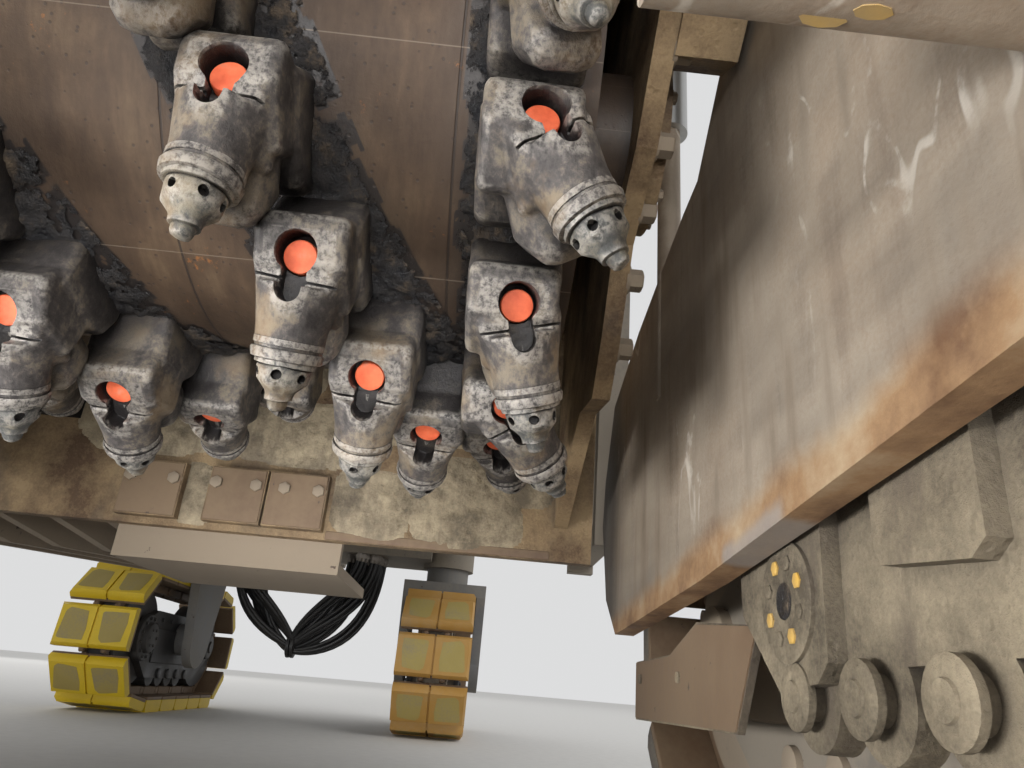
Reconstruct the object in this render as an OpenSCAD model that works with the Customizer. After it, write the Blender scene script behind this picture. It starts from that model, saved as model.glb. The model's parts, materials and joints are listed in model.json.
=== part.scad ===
/* [Machine] */
// Distance from the rear leg axes to the front leg axes
wheelbase = 3000; // [2900:50:3200]
// Distance between the centres of the two front crawlers
front_gauge = 1300; // [1280:10:1360]
// Distance between the centres of the two rear crawlers
rear_gauge = 2470; // [2460:10:2560]
// Half the width of the bodywork
body_half_w = 1000; // [970:10:1000]
// Height of the underside of the operator's deck
floor_z = 1700; // [1690:10:1760]
// Height of the canopy's underside
canopy_z = 3600; // [3400:25:3800]

/* [Milling drum] */
// Height of the drum axis above the ground with the machine raised
drum_z = 880; // [870:5:890]
// Distance of the drum axis in front of the rear leg axes
drum_x = 50; // [40:5:60]
// Radius of the circle that the tool tips cut
cut_r = 490; // [488:1:494]
// Outer radius of the drum tube
tube_r = 320; // [316:1:322]
// Wall of the drum tube
tube_wall = 30; // [20:2:45]
// Width that the drum cuts
cut_w = 1500; // [1490:10:1530]
// Distance from the centre line to the right end of the cut
cut_right = 850; // [845:5:860]
// Spacing of the cut lines along the drum
line_step = 18; // [18:0.5:19]
// Number of helical flights of tools
flights = 3; // [3]
// Angle between neighbouring tools of one flight
tool_angle = 20; // [20:0.5:22]
// Number of tools in each end ring
ring_tools = 16; // [14:1:16]
// Width of one tool holder
holder_w = 94; // [80:1:94]
// Angle of the tools to the drum's surface
attack = 40; // [38:1:42]

/* [Drum housing] */
// Thickness of the housing's plates
wall_t = 25; // [20:1:30]
// Centre of the conveyor and its inlet, left of the centre line
mouth_c = 110; // [100:5:120]
// Width of the material inlet in the front wall
mouth_w = 480; // [460:10:500]
// Height of the front wall's lower edge
front_wall_z = 420; // [410:5:440]
// Thickness of the side plates
plate_t = 30; // [25:1:32]
// Droop of the right side plate towards the front
plate_droop = 5; // [4:0.5:5.5]

/* [Crawlers] */
// Width of the track pads
pad_w = 290; // [270:5:290]
// Overall height of a crawler
track_h = 570; // [560:2:580]
// Distance between the end wheels of a crawler
track_reach = 810; // [790:10:830]
// Number of pads on a crawler
shoes = 18; // [18]
// Thickness of a track pad
pad_t = 60; // [54:1:62]
// Width of the link chain that carries the pads
chain_w = 110; // [90:5:110]
// Radius of a leg's inner column
column_r = 100; // [90:1:105]

/* [Conveyors] */
// Width of the conveyor belts
belt_w = 500; // [460:10:500]
// Rise of the primary conveyor
primary_angle = 18; // [17.5:0.1:18.2]
// Rise of the discharge conveyor
lift_angle = 20; // [18:0.5:22]
// Length of the lower discharge section from the lift axis
lower_len = 3200; // [3000:50:3400]
// Length of the upper discharge section
upper_len = 2500; // [2300:50:2700]

/* [Hidden] */
$fn = 48;
gap = 0.3;
run_fit = 0.1;
clear = 5;

drum_gap = 55;
roof_gap = 60;
cut_left = cut_w - cut_right;
wall_r = -(cut_right + drum_gap);
wall_l = cut_left + drum_gap;
roof_z = drum_z + cut_r + roof_gap;
front_x = 600;
back_x = -560;

beam_z0 = roof_z + wall_t;
beam_h = 200;
beam_z1 = beam_z0 + beam_h;
beam_y0 = 430;
beam_y1 = 570;
rear_x = -1720;
rear_wall_x = -1650;
fire_wall_x = -780;
nose_x = wheelbase + 540;
floor_t = 30;
deck_x0 = -560;
deck_x1 = 900;

hood_z0 = 1950;
hood_h = 60;
compartment_z = 1000;
panel_t = 20;

conv_drum_r = 100;
belt_t = 10;
conv_low = 150;
conv_high = 170;
conv_plate = 12;
conv_in = belt_w / 2 + 15;
conv_out = conv_in + conv_plate;
primary_x = 780;
primary_z = 700;
slew_x = nose_x + 410;
lift_x = slew_x + 110;
primary_len = (slew_x - 90 - primary_x) / cos(primary_angle);
function primary_at(x) = primary_z + (x - primary_x) * tan(primary_angle);
lift_z = 1240;
tail_back = 180;
slew_pin_r = 60;
lift_pin_r = 30;
cheek_t = 30;
conv_end_r = 135;
front_tip_x = lift_x + (lower_len + upper_len) * cos(lift_angle) + conv_end_r;
shift_x = -(rear_x + front_tip_x) / 2;

end_r = track_h / 2;
chain_r1 = end_r - pad_t;
chain_r0 = chain_r1 - 35;
fork_in = pad_w / 2 + clear;
fork_t = 40;
yoke_z0 = track_h + 15;
yoke_z1 = yoke_z0 + 55;
pivot_z = 300;

// All sub-parts are drawn with the rear leg axes above x = 0 and then moved together,
// so that the middle of the whole machine's length lies on the origin.
module place() translate([shift_x, 0, 0]) children();

module box(x0, x1, y0, y1, z0, z1) translate([x0, y0, z0]) cube([x1 - x0, y1 - y0, z1 - z0]);

// A profile given in x and z, extruded from y0 to y1
module plate_y(y0, y1) translate([0, y1, 0]) rotate([90, 0, 0]) linear_extrude(y1 - y0) children();

// A profile given in y and z, extruded from x0 to x1
module plate_x(x0, x1) translate([x0, 0, 0]) rotate([90, 0, 90]) linear_extrude(x1 - x0) children();

module rod_y(r, x, z, y0, y1) translate([x, y0, z]) rotate([-90, 0, 0]) cylinder(r = r, h = y1 - y0);

module rod_z(r, x, y, z0, z1) translate([x, y, z0]) cylinder(r = r, h = z1 - z0);

module on_side(s) {
    if (s < 0) mirror([0, 1, 0]) children();
    else children();
}

module both_sides() for (s = [-1, 1]) on_side(s) children();

// Chassis: two long beams, the front cross box with the leg sleeves, and the nose plate
sleeve_r = column_r + 22;
sleeve_z0 = 720;
sleeve_z1 = 1700;
cross_z0 = 740;
cross_z1 = primary_at(wheelbase - 200) - conv_low / cos(primary_angle) - 19;
eye_r = 25;
hanger_x = wheelbase - 800;
module main_frame() color("dimgray") place() difference() {
    union() {
        both_sides() {
            box(rear_x + 70, nose_x, beam_y0, beam_y1, beam_z0, beam_z1);
            box(wheelbase - 160, wheelbase + 160, beam_y0, beam_y1 - 60, cross_z1, beam_z0);
            box(nose_x - 300, nose_x, beam_y0, beam_y0 + 30, 900, beam_z0);
            rod_z(sleeve_r, wheelbase, front_gauge / 2, sleeve_z0, sleeve_z1);
            box(rear_x, rear_x + 70, body_half_w - 80, body_half_w - 40, beam_z0 - 100, beam_z0);
        }
        box(wheelbase - 200, wheelbase + 200, -beam_y1, beam_y1, cross_z0, cross_z1);
        box(rear_x, rear_x + 70, -body_half_w + 40, body_half_w - 40, beam_z0, beam_z1);
        box(wheelbase + 200, nose_x, -beam_y0 - 30, beam_y0 + 30, 870, 900);
        box(nose_x, slew_x, mouth_c - 130, mouth_c + 130, 870, 900);
        rod_z(130, slew_x, mouth_c, 850, 930);
        for (x = [-880, 1300, hanger_x]) box(x, x + 90, -beam_y0, beam_y0, beam_z0, beam_z0 + 90);
        translate([0, mouth_c, 0]) both_sides()
            box(hanger_x, hanger_x + 90, conv_out + gap, conv_out + gap + 12, primary_at(hanger_x) + 20,
                beam_z0 + 1);
    }
    both_sides() {
        rod_z(column_r + run_fit, wheelbase, front_gauge / 2, sleeve_z0 - 1, sleeve_z1 + 1);
        rod_y(eye_r, rear_x + 40, beam_z0 - 50, body_half_w - 81, body_half_w - 39);
        rod_y(eye_r, nose_x - 70, 970, beam_y0 - 1, beam_y0 + 31);
    }
    rod_z(slew_pin_r + run_fit, slew_x, mouth_c, 840, 940);
}

// Housing of the drum: roof, front wall with the inlet, fixed side walls, upper back wall
mouth_z0 = 600;
mouth_z1 = 1090;
shaft_r = 90;
bearing_r = 112;
arm_x = -150;
module wall_of(lower_edge, y0, y1) plate_y(y0, y1)
    polygon(concat(lower_edge, [[front_x, roof_z], [back_x, roof_z]]));
right_edge = [[back_x, 1150], [-170, 880], [-60, 790], [drum_x + 15, drum_z - 140], [137, 640], [200, 578],
    [320, 600], [front_x, 480]];
left_edge = [[back_x, 700], [-260, 600], [front_x, 440]];
module drum_housing() color("tan") place() difference() {
    union() {
        box(back_x, front_x + wall_t, wall_r - wall_t, wall_l + wall_t, roof_z, roof_z + wall_t);
        box(front_x, front_x + wall_t, wall_r - 70, wall_l + wall_t, front_wall_z, roof_z);
        box(back_x, back_x + 20, wall_r, wall_l, 900, roof_z);
        wall_of(right_edge, wall_r - wall_t, wall_r);
        wall_of(left_edge, wall_l, wall_l + wall_t);
        rod_y(bearing_r, drum_x, drum_z, wall_r - wall_t - 18, wall_r - wall_t);
        plate_y(-body_half_w + 2, wall_r - wall_t + 1) polygon([[arm_x - 60, 990], [arm_x - 60, 900],
            [arm_x + 10, 850], [arm_x + 60, 880], [arm_x + 60, 990]]);
        for (y = [[-495, -390], [-386, -286], [-240, -135]])
            box(front_x - 22, front_x, y[0], y[1], front_wall_z + 12, front_wall_z + 110);
    }
    box(front_x - 1, front_x + wall_t + 1, mouth_c - mouth_w / 2, mouth_c + mouth_w / 2, mouth_z0, mouth_z1);
    rod_y(shaft_r + run_fit, drum_x, drum_z, wall_r - 60, wall_l + 100);
}

// Shoe below the inlet: a skid plate and the long runners under the conveyor's tail
module inlet_shoe() color("peru") place() {
    for (i = [0 : 4]) translate([0, mouth_c - mouth_w / 2 + 20 + i * (mouth_w - 60) / 4, 0])
        plate_y(0, 20) polygon([[front_x + wall_t, 430], [900, 405], [1900, 480], [1900, 540],
            [1000, 500], [front_x + wall_t, 515]]);
    box(front_x + wall_t, front_x + 400, -528, mouth_c - mouth_w / 2, 365, 385);
    box(front_x + wall_t, front_x + wall_t + 20, -528, mouth_c - mouth_w / 2, 385, 470);
    box(1200, 1230, mouth_c - mouth_w / 2, mouth_c + mouth_w / 2 - 20, 470, 500);
}

// Cover of the belt drive on the drum's left side
cover_y0 = wall_l + wall_t + 70;
module drum_drive_cover() color("gold") place() difference() {
    plate_y(cover_y0, body_half_w) {
        translate([drum_x, drum_z]) circle(r = 330);
        polygon([[drum_x - 330, drum_z], [drum_x + 330, drum_z], [430, beam_z0], [-430, beam_z0]]);
    }
    rod_y(shaft_r + run_fit, drum_x, drum_z, cover_y0 - 1, body_half_w - 50);
}

engine_half_w = 350;
module engine_block() color("silver") place() {
    box(-1500, -900, -engine_half_w, engine_half_w, 1080, 1800);
    both_sides() box(-1350, -1050, engine_half_w, beam_y0, beam_z0 + 45, beam_z0 + 105);
}

// Engine compartment: floor, sides with door openings, front wall and rear frame
door_x0 = -1600;
door_x1 = -850;
door_z0 = 1120;
door_z1 = 1880;
hinge_r = 16;
hinge_pin_r = 8;
hinge_x = door_x1 + clear / 2;
hinge_y = body_half_w + hinge_r + 2;
hinge_zs = [1240, 1700];
hood_hinge_x = fire_wall_x - 8;
hood_hinge_z = hood_z0 + hood_h + hinge_r + 2;
hood_hinge_ys = [-600, 540];
module rear_body() color("white") place() difference() {
    union() {
        box(rear_wall_x, fire_wall_x + panel_t, -body_half_w, body_half_w, compartment_z,
            compartment_z + panel_t);
        both_sides() {
            box(rear_wall_x, fire_wall_x + panel_t, body_half_w - panel_t, body_half_w, compartment_z,
                hood_z0);
            box(-1250, -1150, beam_y1, body_half_w - panel_t, beam_z0, beam_z0 + 30);
            for (z = hinge_zs) {
                rod_z(hinge_pin_r, hinge_x, hinge_y, z - 20, z + 80);
                box(hinge_x - hinge_pin_r, hinge_x + 60, body_half_w, hinge_y + hinge_pin_r, z - 40, z - 20);
            }
        }
        box(fire_wall_x, fire_wall_x + panel_t, -body_half_w, body_half_w, compartment_z, hood_z0);
        box(rear_wall_x, rear_wall_x + panel_t, -body_half_w, body_half_w, compartment_z, hood_z0);
        for (y = hood_hinge_ys) {
            rod_y(hinge_pin_r, hood_hinge_x, hood_hinge_z, y - 20, y + 80);
            box(fire_wall_x, fire_wall_x + panel_t, y - 40, y - 20, hood_z0, hood_hinge_z + hinge_pin_r);
            box(hood_hinge_x - hinge_pin_r, fire_wall_x, y - 40, y - 20, hood_z0 + hood_h + 2,
                hood_hinge_z + hinge_pin_r);
        }
    }
    both_sides() {
        box(door_x0, door_x1, body_half_w - panel_t - 1, body_half_w + 1, door_z0, door_z1);
        box(rear_wall_x - 1, fire_wall_x + panel_t + 1, beam_y0 - 1, beam_y1, beam_z0 - 1, beam_z1 + 1);
    }
    box(rear_wall_x - 1, rear_wall_x + panel_t + 1, -800, 800, 1100, 1400);
    box(rear_wall_x - 1, rear_wall_x + panel_t + 1, -800, 800, beam_z1 + 20, 1900);
}

module radiator_grille() color("dimgray") place() for (z = [[1100, 1400], [beam_z1 + 20, 1900]]) {
    difference() {
        box(rear_wall_x - 20, rear_wall_x, -820, 820, z[0] - 18, z[1] + 18);
        for (i = [0 : 9]) box(rear_wall_x - 21, rear_wall_x + 1, -795 + i * 160, -795 + i * 160 + 150,
            z[0] + 5, z[1] - 5);
    }
}

exhaust_x = fire_wall_x + 110;
exhaust_y = 700;
exhaust_r = 60;
module exhaust() color("silver") place() {
    rod_z(85, exhaust_x, exhaust_y, floor_z - 150, floor_z + 520);
    difference() {
        rod_z(exhaust_r, exhaust_x, exhaust_y, floor_z + 519, floor_z + 900);
        rod_z(exhaust_r - 6, exhaust_x, exhaust_y, floor_z + 530, floor_z + 901);
    }
    box(fire_wall_x + panel_t, exhaust_x, exhaust_y - 40, exhaust_y + 40, floor_z + 100, floor_z + 150);
}

// Operator's deck
module platform() color("gray") place() {
    box(deck_x0, deck_x1, -body_half_w, body_half_w, floor_z, floor_z + floor_t);
    both_sides() box(deck_x0 + 60, deck_x1 - 60, beam_y0, beam_y1, beam_z1, floor_z);
}

rail_r = 20;
rail_h = 1000;
module guard_rails() color("gold") place() both_sides() {
    z0 = floor_z + floor_t;
    for (x = [deck_x0 + 60, 0, 500]) rod_z(rail_r, x, body_half_w - 40, z0, z0 + rail_h);
    for (h = [rail_h / 2, rail_h]) translate([deck_x0 + 60, body_half_w - 40, z0 + h])
        rotate([0, 90, 0]) cylinder(r = rail_r, h = 440 - deck_x0);
}

module consoles() color("dimgray") place() both_sides() {
    z0 = floor_z + floor_t;
    plate_y(420, 840) polygon([[640, z0], [860, z0], [860, z0 + 1050], [760, z0 + 1100], [560, z0 + 980],
        [560, z0 + 930], [700, z0 + 900]]);
}

module seats() color("black") place() both_sides() {
    z0 = floor_z + floor_t;
    rod_z(60, 60, 660, z0, z0 + 420);
    box(-180, 280, 430, 890, z0 + 420, z0 + 520);
    box(-280, -180, 450, 870, z0 + 430, z0 + 1150);
}

module canopy() color("white") place() {
    both_sides() for (x = [deck_x0 + 20, deck_x1 - 60]) box(x, x + 40, body_half_w - 140, body_half_w - 100,
        floor_z + floor_t, canopy_z);
    plate_x(deck_x0 - 150, deck_x1 + 150) polygon([[-body_half_w, canopy_z], [body_half_w, canopy_z],
        [body_half_w, canopy_z + 25], [body_half_w - 130, canopy_z + 70], [130 - body_half_w, canopy_z + 70],
        [-body_half_w, canopy_z + 25]]);
}

module ladders() color("gold") place() both_sides() {
    for (x = [720, 1100]) box(x, x + 30, body_half_w, body_half_w + 60, 480, floor_z + floor_t);
    for (i = [0 : 4]) box(750, 1100, body_half_w, body_half_w + 60, 500 + i * 240, 525 + i * 240);
}

cover_out = body_half_w - 60;
module side_covers() color("white") place() both_sides() {
    box(-540, -180, beam_y1, cover_out, beam_z0, floor_z);
    box(180, deck_x1, beam_y1, cover_out, beam_z0, floor_z);
}

// Front bodywork: side tanks below the beams' top and the hood above them
hood_front_x = wheelbase - 240;
tank_z0 = 1000;
module front_body() color("white") place() {
    both_sides() difference() {
        box(deck_x1 + 10, hood_front_x - 140, beam_y1, body_half_w, tank_z0, beam_z1);
        box(deck_x1 + 9, 1140, beam_y1 - 1, body_half_w + 1, tank_z0 - 1, tank_z0 + 100);
    }
    plate_y(-body_half_w, body_half_w) polygon([[deck_x1 + 10, beam_z1], [hood_front_x, beam_z1],
        [hood_front_x, beam_z1 + 105], [hood_front_x - 260, 1960], [1100, 2100], [deck_x1 + 10, 2100]]);
}

// Conveyor section along +X from its tail drum, tail end at x = x0 and head end at x = x1
module conveyor_frame(x0, x1, tail, head, cross) {
    for (s = [-1, 1]) on_side(s) plate_y(conv_in, conv_out) {
        translate([x0, -conv_low]) square([x1 - x0, conv_low + conv_high]);
        if (head > 0) translate([x1, 0]) circle(r = head);
        if (tail > 0) translate([x0, 0]) circle(r = tail);
    }
    for (x = cross) rod_y(25, x, 0, -conv_in, conv_in);
}

module conveyor_drums(xs) for (x = xs) {
    rod_y(conv_drum_r - gap, x, 0, -belt_w / 2, belt_w / 2);
    rod_y(35, x, 0, -conv_in, conv_in);
}

module stadium(x0, x1, r) {
    translate([x0, -r]) square([x1 - x0, 2 * r]);
    translate([x0, 0]) circle(r = r);
    translate([x1, 0]) circle(r = r);
}

module conveyor_belt(x0, x1) plate_y(-belt_w / 2, belt_w / 2) difference() {
    stadium(x0, x1, conv_drum_r + belt_t);
    stadium(x0, x1, conv_drum_r);
}

module primary_place() translate([primary_x, mouth_c, primary_z]) rotate([0, -primary_angle, 0]) children();
module primary_conveyor() color("gray") place() primary_place() {
    conveyor_frame(0, primary_len, conv_low, conv_low, [500, 1200, 1900, 2600]);
    conveyor_drums([0, primary_len]);
}
module primary_belt() color("black") place() primary_place() conveyor_belt(0, primary_len);

// Discharge conveyor: the slewing fork, two belt sections and the lift cylinder
module lift_place() translate([lift_x, mouth_c, lift_z]) rotate([0, -lift_angle, 0]) children();
split_gap = 140;
split_clear = 5;
slew_base_z = 940;
cyl_foot = [lift_x + 200, 900];
cyl_lug = [900, -200];
cyl_pin_r = 20;
cross_r = 12;
eye_w = 44;
ear_in = eye_w / 2 + 4;
ear_t = 20;
module slew_frame() color("dimgray") place() {
    rod_z(slew_pin_r, slew_x, mouth_c, 830, slew_base_z + 1);
    box(slew_x - 160, lift_x + 160, mouth_c - conv_out - clear - cheek_t,
        mouth_c + conv_out + clear + cheek_t,
        slew_base_z, slew_base_z + 40);
    translate([0, mouth_c, 0]) both_sides() {
        plate_y(conv_out + clear, conv_out + clear + cheek_t) polygon([[slew_x - 100, slew_base_z + 40],
            [lift_x + 120, slew_base_z + 40], [lift_x + 70, lift_z + 70], [lift_x - 70, lift_z + 70]]);
        rod_y(lift_pin_r, lift_x, lift_z, conv_in - 10, conv_out + clear + 1);
        plate_y(ear_in, ear_in + ear_t) {
            translate(cyl_foot) circle(r = 45);
            polygon([[lift_x + 60, slew_base_z + 1], [lift_x + 160, slew_base_z + 1], cyl_foot + [10, 44],
                cyl_foot + [0, -45], cyl_foot + [-100, 0]]);
        }
    }
    translate([0, mouth_c, 0]) rod_y(cyl_pin_r, cyl_foot[0], cyl_foot[1], -ear_in - 1, ear_in + 1);
}

fold_pin = [0, conv_high + 45];
fold_pin_r = 20;
fold_lug_r = 32;
module lower_conveyor() color("white") place() lift_place() difference() {
    union() {
        conveyor_frame(-tail_back, lower_len - split_clear, conv_low, 0, [400, 900, 1500, 2100, 2700]);
        conveyor_drums([-tail_back, lower_len - split_gap]);
        rod_y(cross_r, cyl_lug[0], -conv_drum_r - belt_t - cross_r - 2, -conv_in, conv_in);
        both_sides() {
            plate_y(ear_in, ear_in + ear_t) {
                translate(cyl_lug) circle(r = 36);
                translate([cyl_lug[0] - 36, cyl_lug[1]])
                    square([72, -conv_drum_r - belt_t - 2 - cyl_lug[1]]);
            }
            plate_y(conv_in, conv_out) translate([lower_len, 0]) {
                translate(fold_pin) circle(r = fold_lug_r);
                polygon([[-200, conv_high - 1], [-6, conv_high - 1], [-6, 190], fold_pin + [0, 30],
                    fold_pin + [-30, 25]]);
            }
        }
        rod_y(cyl_pin_r, cyl_lug[0], cyl_lug[1], -ear_in - 1, ear_in + 1);
    }
    both_sides() {
        rod_y(lift_pin_r + run_fit, 0, 0, conv_in - 1, conv_out + 1);
        rod_y(fold_pin_r + run_fit, lower_len + fold_pin[0], fold_pin[1], conv_in - 1, conv_out + 1);
    }
}
module lower_belt() color("black") place() lift_place() conveyor_belt(-tail_back, lower_len - split_gap);

module upper_place() lift_place() translate([lower_len, 0, 0]) children();
module upper_conveyor() color("white") place() upper_place() {
    conveyor_frame(split_clear, upper_len, 0, conv_end_r, [700, 1300, 1900]);
    conveyor_drums([split_gap, upper_len]);
    both_sides() {
        plate_y(conv_out + clear, conv_out + clear + conv_plate) {
            translate(fold_pin) circle(r = fold_lug_r);
            polygon([fold_pin + [-20, -20], fold_pin + [20, 25], [220, 150], [220, 40], [60, 40]]);
        }
        plate_y(conv_out - 1, conv_out + clear + 1) translate([80, 60]) square([120, 80]);
        rod_y(fold_pin_r, fold_pin[0], fold_pin[1], conv_in - 8, conv_out + clear + 1);
    }
}
module upper_belt() color("black") place() upper_place() conveyor_belt(split_gap, upper_len);

// Lift cylinder between the slewing fork and the lower section
lug_x = lift_x + cyl_lug[0] * cos(lift_angle) - cyl_lug[1] * sin(lift_angle);
lug_z = lift_z + cyl_lug[0] * sin(lift_angle) + cyl_lug[1] * cos(lift_angle);
cyl_angle = atan2(lug_z - cyl_foot[1], lug_x - cyl_foot[0]);
cyl_len = norm([lug_x - cyl_foot[0], lug_z - cyl_foot[1]]);
cyl_rod_r = 24;
barrel_len = 560;
module cylinder_place() translate([cyl_foot[0], mouth_c, cyl_foot[1]]) rotate([0, -cyl_angle, 0]) children();
module along_x(r, x0, x1) translate([x0, 0, 0]) rotate([0, 90, 0]) cylinder(r = r, h = x1 - x0);
module lift_barrel() color("silver") place() cylinder_place() difference() {
    union() {
        along_x(45, 50, barrel_len);
        rod_y(40, 0, 0, -eye_w / 2, eye_w / 2);
        box(0, 60, -eye_w / 2, eye_w / 2, -30, 30);
    }
    rod_y(cyl_pin_r + run_fit, 0, 0, -eye_w, eye_w);
    along_x(cyl_rod_r + run_fit, 100, barrel_len + 1);
}
module lift_rod() color("silver") place() cylinder_place() difference() {
    union() {
        along_x(cyl_rod_r, 320, cyl_len - 30);
        rod_y(48, cyl_len, 0, -eye_w / 2, eye_w / 2);
    }
    rod_y(cyl_pin_r + 14, cyl_len, 0, -eye_w, eye_w);
}

// One crawler in its own frame: x forward, y outward, z up from the ground
module track_loop() {
    plate_y(-chain_w / 2, chain_w / 2) translate([0, end_r]) difference() {
        stadium(-track_reach / 2, track_reach / 2, chain_r1);
        stadium(-track_reach / 2, track_reach / 2, chain_r0);
    }
    for (i = [0 : shoes - 1]) on_loop(i * pad_pitch)
        track_pad(on_straight(i * pad_pitch) ? pad_t : pad_t_end);
}

// The pads on the end wheels are as much lower as keeps their corners inside the crawler's height.
pad_pitch = (2 * track_reach + 2 * PI * chain_r1) / shoes;
pad_half = pad_pitch / 2 - 4;
pad_t_end = sqrt(end_r * end_r - pad_half * pad_half) - chain_r1;
function on_straight(u) = u <= track_reach || (u >= track_reach + PI * chain_r1
    && u <= 2 * track_reach + PI * chain_r1);
module track_pad(t) translate([-pad_half, -pad_w / 2, -1]) cube([2 * pad_half, pad_w, t + 1]);

// Places children at length u along the chain's outer line, z outwards
module on_loop(u) {
    half = PI * chain_r1;
    if (u < track_reach) translate([-track_reach / 2 + u, 0, end_r + chain_r1]) children();
    else if (u < track_reach + half) translate([track_reach / 2, 0, end_r])
        rotate([0, (u - track_reach) / chain_r1 * 180 / PI, 0]) translate([0, 0, chain_r1]) children();
    else if (u < 2 * track_reach + half)
        translate([track_reach / 2 - (u - track_reach - half), 0, end_r - chain_r1])
        rotate([0, 180, 0]) children();
    else translate([-track_reach / 2, 0, end_r])
        rotate([0, 180 + (u - 2 * track_reach - half) / chain_r1 * 180 / PI, 0])
            translate([0, 0, chain_r1]) children();
}

roller_r = 50;
roller_z = end_r - chain_r0 + gap + roller_r;
frame_in = chain_w / 2 + 5;
frame_t = 30;
module track_frame() {
    both_sides() plate_y(frame_in, frame_in + frame_t) difference() {
        polygon([[-track_reach / 2 - 60, 240], [-300, 130], [300, 130], [track_reach / 2 + 60, 240],
            [track_reach / 2 + 60, 330], [300, 400], [-300, 400], [-track_reach / 2 - 60, 330]]);
    }
    box(-200, 200, -frame_in, frame_in, 240, 400);
}

module track_rollers() {
    for (x = [-165, -55, 55, 165]) rod_y(roller_r, x, roller_z, -frame_in + gap, frame_in - gap);
    for (x = [-1, 1]) rod_y(chain_r0 - gap, x * track_reach / 2, end_r, -frame_in + gap, frame_in - gap);
}

module fork_plate(y0, y1) plate_y(y0, y1) {
    polygon([[-200, yoke_z0], [200, yoke_z0], [120, pivot_z], [-120, pivot_z]]);
    translate([0, pivot_z]) circle(r = 120);
}
module crawler_leg(top, inner_plate) {
    rod_z(column_r, 0, 0, yoke_z1 - 1, top);
    box(-200, 200, -fork_in - (inner_plate ? fork_t : 0), fork_in + fork_t, yoke_z0, yoke_z1);
    fork_plate(fork_in, fork_in + fork_t);
    if (inner_plate) fork_plate(-fork_in - fork_t, -fork_in);
    both_sides() rod_y(70, 0, pivot_z, frame_in + frame_t, fork_in);
}

// Casting on the inner side of a rear crawler: raised pads, a bolted cap, roller lobes and a guard plate
cast_y0 = -fork_in - 25;
cast_y1 = cast_y0 - 16;
cap_x = -80;
cap_r = 47;
lobe_r = 42;
lobes = 4;
lobe_pitch = 105;
module rear_casting() {
    plate_y(cast_y0, -fork_in) {
        polygon([[-520, yoke_z1], [-520, 300], [-440, 240], [-150, 235], [-132, 222], [-46, 215],
            [45, 285], [50, 400], [160, yoke_z1]]);
        for (i = [0 : lobes - 1]) translate([cap_x - 5 - i * lobe_pitch, 215]) circle(r = lobe_r);
    }
    plate_y(cast_y1, cast_y0 + 1) {
        polygon([[-150, 420], [-145, 240], [-125, 225], [-50, 218], [35, 290], [40, 420]]);
        polygon([[-345, 470], [-345, 300], [-330, 290], [-235, 300], [-228, 315], [-228, 470]]);
        for (i = [0 : lobes - 1]) translate([cap_x - 5 - i * lobe_pitch, 215]) circle(r = 18);
    }
    rod_y(cap_r, cap_x, 292, cast_y1 - 3, cast_y1 + 1);
    plate_y(cast_y0 - 8, cast_y0) polygon([[15, 280], [85, 178], [560, 175], [560, 262], [350, 265],
        [221, 299]]);
    box(350, 358, cast_y0 - 1, -fork_in + 20, 178, 262);
    box(-520, 160, -fork_in - 24, 0, yoke_z0, yoke_z1);
}

module at_crawler(fx, s) on_side(s)
    translate([fx > 0 ? wheelbase : 0, fx > 0 ? front_gauge / 2 : rear_gauge / 2, 0]) children();

module rear_leg(s) color("tan") place() {
    at_crawler(0, s) {
        crawler_leg(sleeve_z0 + 60, false);
        rear_casting();
        rod_z(sleeve_r, 0, 0, sleeve_z0 + 50, sleeve_z1);
    }
    on_side(s) box(-120, 120, beam_y1, rear_gauge / 2, beam_z0, beam_z1);
}
module front_leg(s) color("tan") place() at_crawler(1, s) crawler_leg(sleeve_z1 - 20, true);
module track(fx, s, c) color(c) place() at_crawler(fx, s) track_loop();
module frame_of_track(fx, s) color("dimgray") place() at_crawler(fx, s) track_frame();
module rollers_of_track(fx, s) color("silver") place() at_crawler(fx, s) track_rollers();

// Milling drum
module drum_tube() color("saddlebrown") place() {
    difference() {
        rod_y(tube_r, drum_x, drum_z, -cut_right + 12, cut_left - 12);
        rod_y(tube_r - tube_wall, drum_x, drum_z, -cut_right + 50, cut_left - 50);
    }
    rod_y(shaft_r, drum_x, drum_z, wall_r - wall_t - 10, -cut_right + 13);
    rod_y(shaft_r, drum_x, drum_z, cut_left - 13, body_half_w - 60);
    for (i = [0 : 5]) at_tool(i * 60, mouth_c) {
        box(-25, 0, -54, 54, tube_r - 10, 455);
        for (y = [-40, 25]) box(-1, 60, y, y + 15, tube_r - 10, 400);
    }
}

// One tool in its own frame: x along the cut, y towards the right, z away from the axis
tip_x = 75;
tip_z = sqrt(cut_r * cut_r - tip_x * tip_x);
lean_z = 360;
shank_r = 11;
nose_r = 33;
seat_s = 52;
shank_s = 120;
half_angle = tool_angle / 2 - 0.4;
face_angle = 42;
face = [-53, 412];
keyhole_r = 17;
slot_r = 9;
slot_len = 30;
module along_tool() translate([tip_x, 0, tip_z]) rotate([0, -90 - attack, 0]) children();
module leaning(lean) translate([0, 0, lean_z]) rotate([-lean, 0, 0.6 * lean]) translate([0, 0, -lean_z])
    children();
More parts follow.
